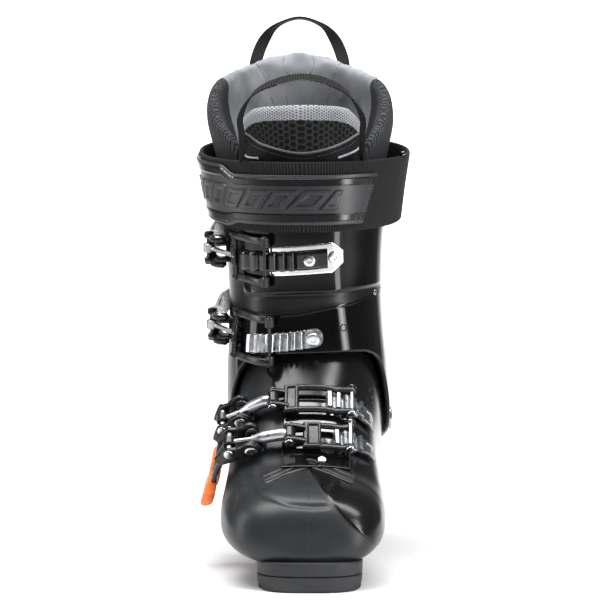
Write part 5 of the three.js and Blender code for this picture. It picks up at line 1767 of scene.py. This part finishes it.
def make_link(name, place, trunnion, clevis_place):
    """The cast link: an eye on the trunnion, a threaded shank and a thick curved arm to the clevis."""
    body = f"{name}_link"
    centre = to_world(trunnion, [(0, 0, 0)])[0]
    target = clevis_place[:3, 3]
    direction = unit(target - centre)
    pivot_at = place[:3, 3]
    eye = ring_eye("eye", trunnion, 4.3, 2.35, -3.3, 3.3)
    shank = rod_between("shank", centre + direction * 3.6, lerp(target, centre, 0.55), 1.9, ridges=8)
    bend = lerp(target, pivot_at, 0.30) + 1.0 * place[:3, 1]
    start = lerp(target, centre, 0.62)
    path = fine([start, bend, target + unit(bend - target) * 1.5], 26)
    width = np.interp(np.linspace(0, 1, 26), (0, 0.2, 0.6, 1), (2.6, 4.0, 4.2, 3.6))
    arm = tube("arm", path, width, 18, squash=1.1, up=FOOT_AXIS)
    knuckle = ring_eye("knuckle", clevis_place, 4.2, 2.35, -EAR_FACE + PIN_GAP, EAR_FACE - PIN_GAP)
    finished(joined(f"{name}_pull_link", shank, arm), body, SILVER, "silver", f"{name}_link")
    # painted shade: the link's eyes are silver metal, coloured black where they sit between the lever cheeks
    # and the frame's ears
    finished(joined(f"{name}_link_eyes_painted_shade", eye, knuckle), body, BLACK_METAL, "silver", f"{name}_link")
    reach = EAR_FACE + EAR_WIDTH + PIN_GAP
    pin = rivet_pin(f"{name}_clevis_rivet", clevis_place, -reach, reach, 2.0, 1.5, 1.3)
    finished(pin, body, STEEL, "steel", f"{name}_clevis_pin")


def make_strap_frame(name, origin, clevis, hook, clevis_place):
    """The black frame over the catch: two bands round a window, ears for the link, and a cross pin."""
    body = f"{name}_strap"
    def rise(base, lift):
        return lambda u, v: base + lift * step(u, 0.7, 1) + 0.45 * (1 - (2 * v - 1) ** 2)

    def sunk(u, v):
        return -0.9 * step(np.minimum(v, 1 - v), 0.1, 0.16) * step(u, 0.2, 0.3) * step(-u, -0.85, -0.75)
    rails = []
    for low, high in ((STRAP_HALF - STRAP_ARM, STRAP_HALF), (-STRAP_HALF, -STRAP_HALF + STRAP_ARM)):
        rails.append(strip("rail", foot_band, origin, (clevis + 7, hook + 2.4), (low, high),
                           rise(4.8, 2.4), rise(7.8, 4.2), (70, 16), (1.6, 0.9)))
    yoke = strip("yoke", foot_band, origin, (clevis + 6.5, clevis + 15), (-STRAP_HALF, STRAP_HALF),
                 4.8, 8.8, (24, 60), (1.2, 1.2), relief=sunk)
    ear = [(3.4, -2.6), (4.3, 0), (3.4, 2.9), (1.6, 4.2), (-3.5, 3.6), (-11, 2.2), (-11, -3.4), (-1, -4.3)]
    ears = [plate("ear", ear, low, low + EAR_WIDTH, clevis_place, 0.5)
            for low in (-EAR_FACE - EAR_WIDTH, EAR_FACE)]
    hook_at = foot_band(origin, math.radians(hook), 0.0, 9.8)
    hook_place = axes(hook_at, np.array([-1.0, 0, 0]), FOOT_AXIS)
    finished(joined(f"{name}_frame", *rails, yoke, *ears), body, BLACK_METAL, "black_metal",
             f"{name}_strap_frame")
    pin = rivet_pin(f"{name}_cross_pin", hook_place, -STRAP_HALF - PIN_GAP, STRAP_HALF + PIN_GAP,
                    1.5, 2.0, 1.5)
    finished(pin, body, STEEL, "steel", f"{name}_crossbar")


make_cuff_buckle("upper_cuff", UPPER_ORIGIN, -62, -28)
make_cuff_buckle("lower_cuff", LOWER_ORIGIN, -60, -25.4)
make_foot_buckle("instep", INSTEP_ORIGIN, -43, -20, 27, -84)
make_foot_buckle("toe", TOE_ORIGIN, -33, -9, 25, -80)

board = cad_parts["boot_board"].data
board.materials.clear()
board.materials.append(SATIN_BLACK)


# ------------------------------------------------------------------ camera, floor and light

def make_stage():
    """A plain pale floor that curves up into a backdrop, with painted shade that darkens it far in front and
    far aside.
    """
    depth, rise, back = 1.6, 2.6, 1.5
    profile = [(-4.0, 0.0), (back, 0.0)]
    for k in range(1, 17):
        angle = k / 16 * math.pi / 2
        profile.append((back + depth * math.sin(angle), depth * (1 - math.cos(angle))))
    profile.append((back + depth, depth + rise))
    points = [(x * 1000, y * 1000, z * 1000) for y, z in profile for x in (-1.7, 1.7)]
    faces = [[2 * k, 2 * k + 1, 2 * k + 3, 2 * k + 2] for k in range(len(profile) - 1)]
    stage = new_piece("floor", points, faces, sharp=80)
    shader = Shader("pale_floor", (0.9, 0.9, 0.9), 0.7, Specular_IOR_Level=0.1)
    parts = shader.node("SeparateXYZ", {0: shader.place()})
    # painted shade: the floor's colour darkens far aside and far in front, standing for the unlit studio
    # round the lit area
    aside = shader.between(shader.math("ABSOLUTE", parts.outputs["X"]), 0.9, 1.5)
    forward = shader.between(parts.outputs["Y"], -0.42, -0.9)
    sides = shader.mix(aside, (0.9, 0.9, 0.9), (0.35, 0.35, 0.355))
    shader.color(shader.mix(forward, sides, (0.12, 0.12, 0.123)))
    stage.data.materials.append(shader.material)


def area_light(name, at, target, size, power, color=(1, 1, 1)):
    light = bpy.data.lights.new(name, "AREA")
    light.shape = "RECTANGLE"
    light.size, light.size_y = size
    light.energy = power
    light.color = color
    obj = bpy.data.objects.new(name, light)
    obj.location = at
    obj.rotation_euler = (Vector(target) - Vector(at)).to_track_quat("-Z", "Y").to_euler()
    obj.visible_camera = False
    bpy.context.scene.collection.objects.link(obj)


def make_camera():
    """The photograph's view: level, straight along +Y at mid height."""
    camera = bpy.data.cameras.new("camera")
    camera.lens = 102.9
    camera.sensor_width = 36
    camera.clip_end = 20
    obj = bpy.data.objects.new("camera", camera)
    obj.location = (-0.00364, -1.376, 0.1835)
    obj.rotation_euler = (math.pi / 2, 0, 0)
    bpy.context.scene.collection.objects.link(obj)
    bpy.context.scene.camera = obj


def make_lights():
    """Tall strips on both sides, two strips above, a low one on the right, and one for the backdrop."""
    world = bpy.data.worlds.new("studio")
    world.use_nodes = True
    background = world.node_tree.nodes["Background"]
    background.inputs["Color"].default_value = (1, 1, 1, 1)
    background.inputs["Strength"].default_value = 0.13
    bpy.context.scene.world = world
    area_light("left_strip", (-1.30, -0.25, 0.50), (0, -0.1, 0.16), (0.40, 1.3), 9)
    area_light("right_strip", (0.98, -1.04, 0.35), (0, -0.1, 0.2), (0.26, 1.5), 11)
    area_light("top_right_strip", (0.62, -0.45, 1.45), (0, -0.15, 0.1), (0.32, 1.0), 15)
    area_light("top_left_strip", (-0.32, -0.30, 1.45), (0, -0.15, 0.1), (0.75, 1.0), 26)
    area_light("low_right_strip", (0.42, -0.58, 0.16), (0.02, -0.15, 0.24), (0.10, 0.30), 0.9)
    area_light("backdrop_light", (0.0, 1.2, 1.7), (0, 2.9, 0.5), (2.2, 0.8), 90)


make_camera()
make_stage()
make_lights()
bpy.context.scene.view_settings.view_transform = "Standard"
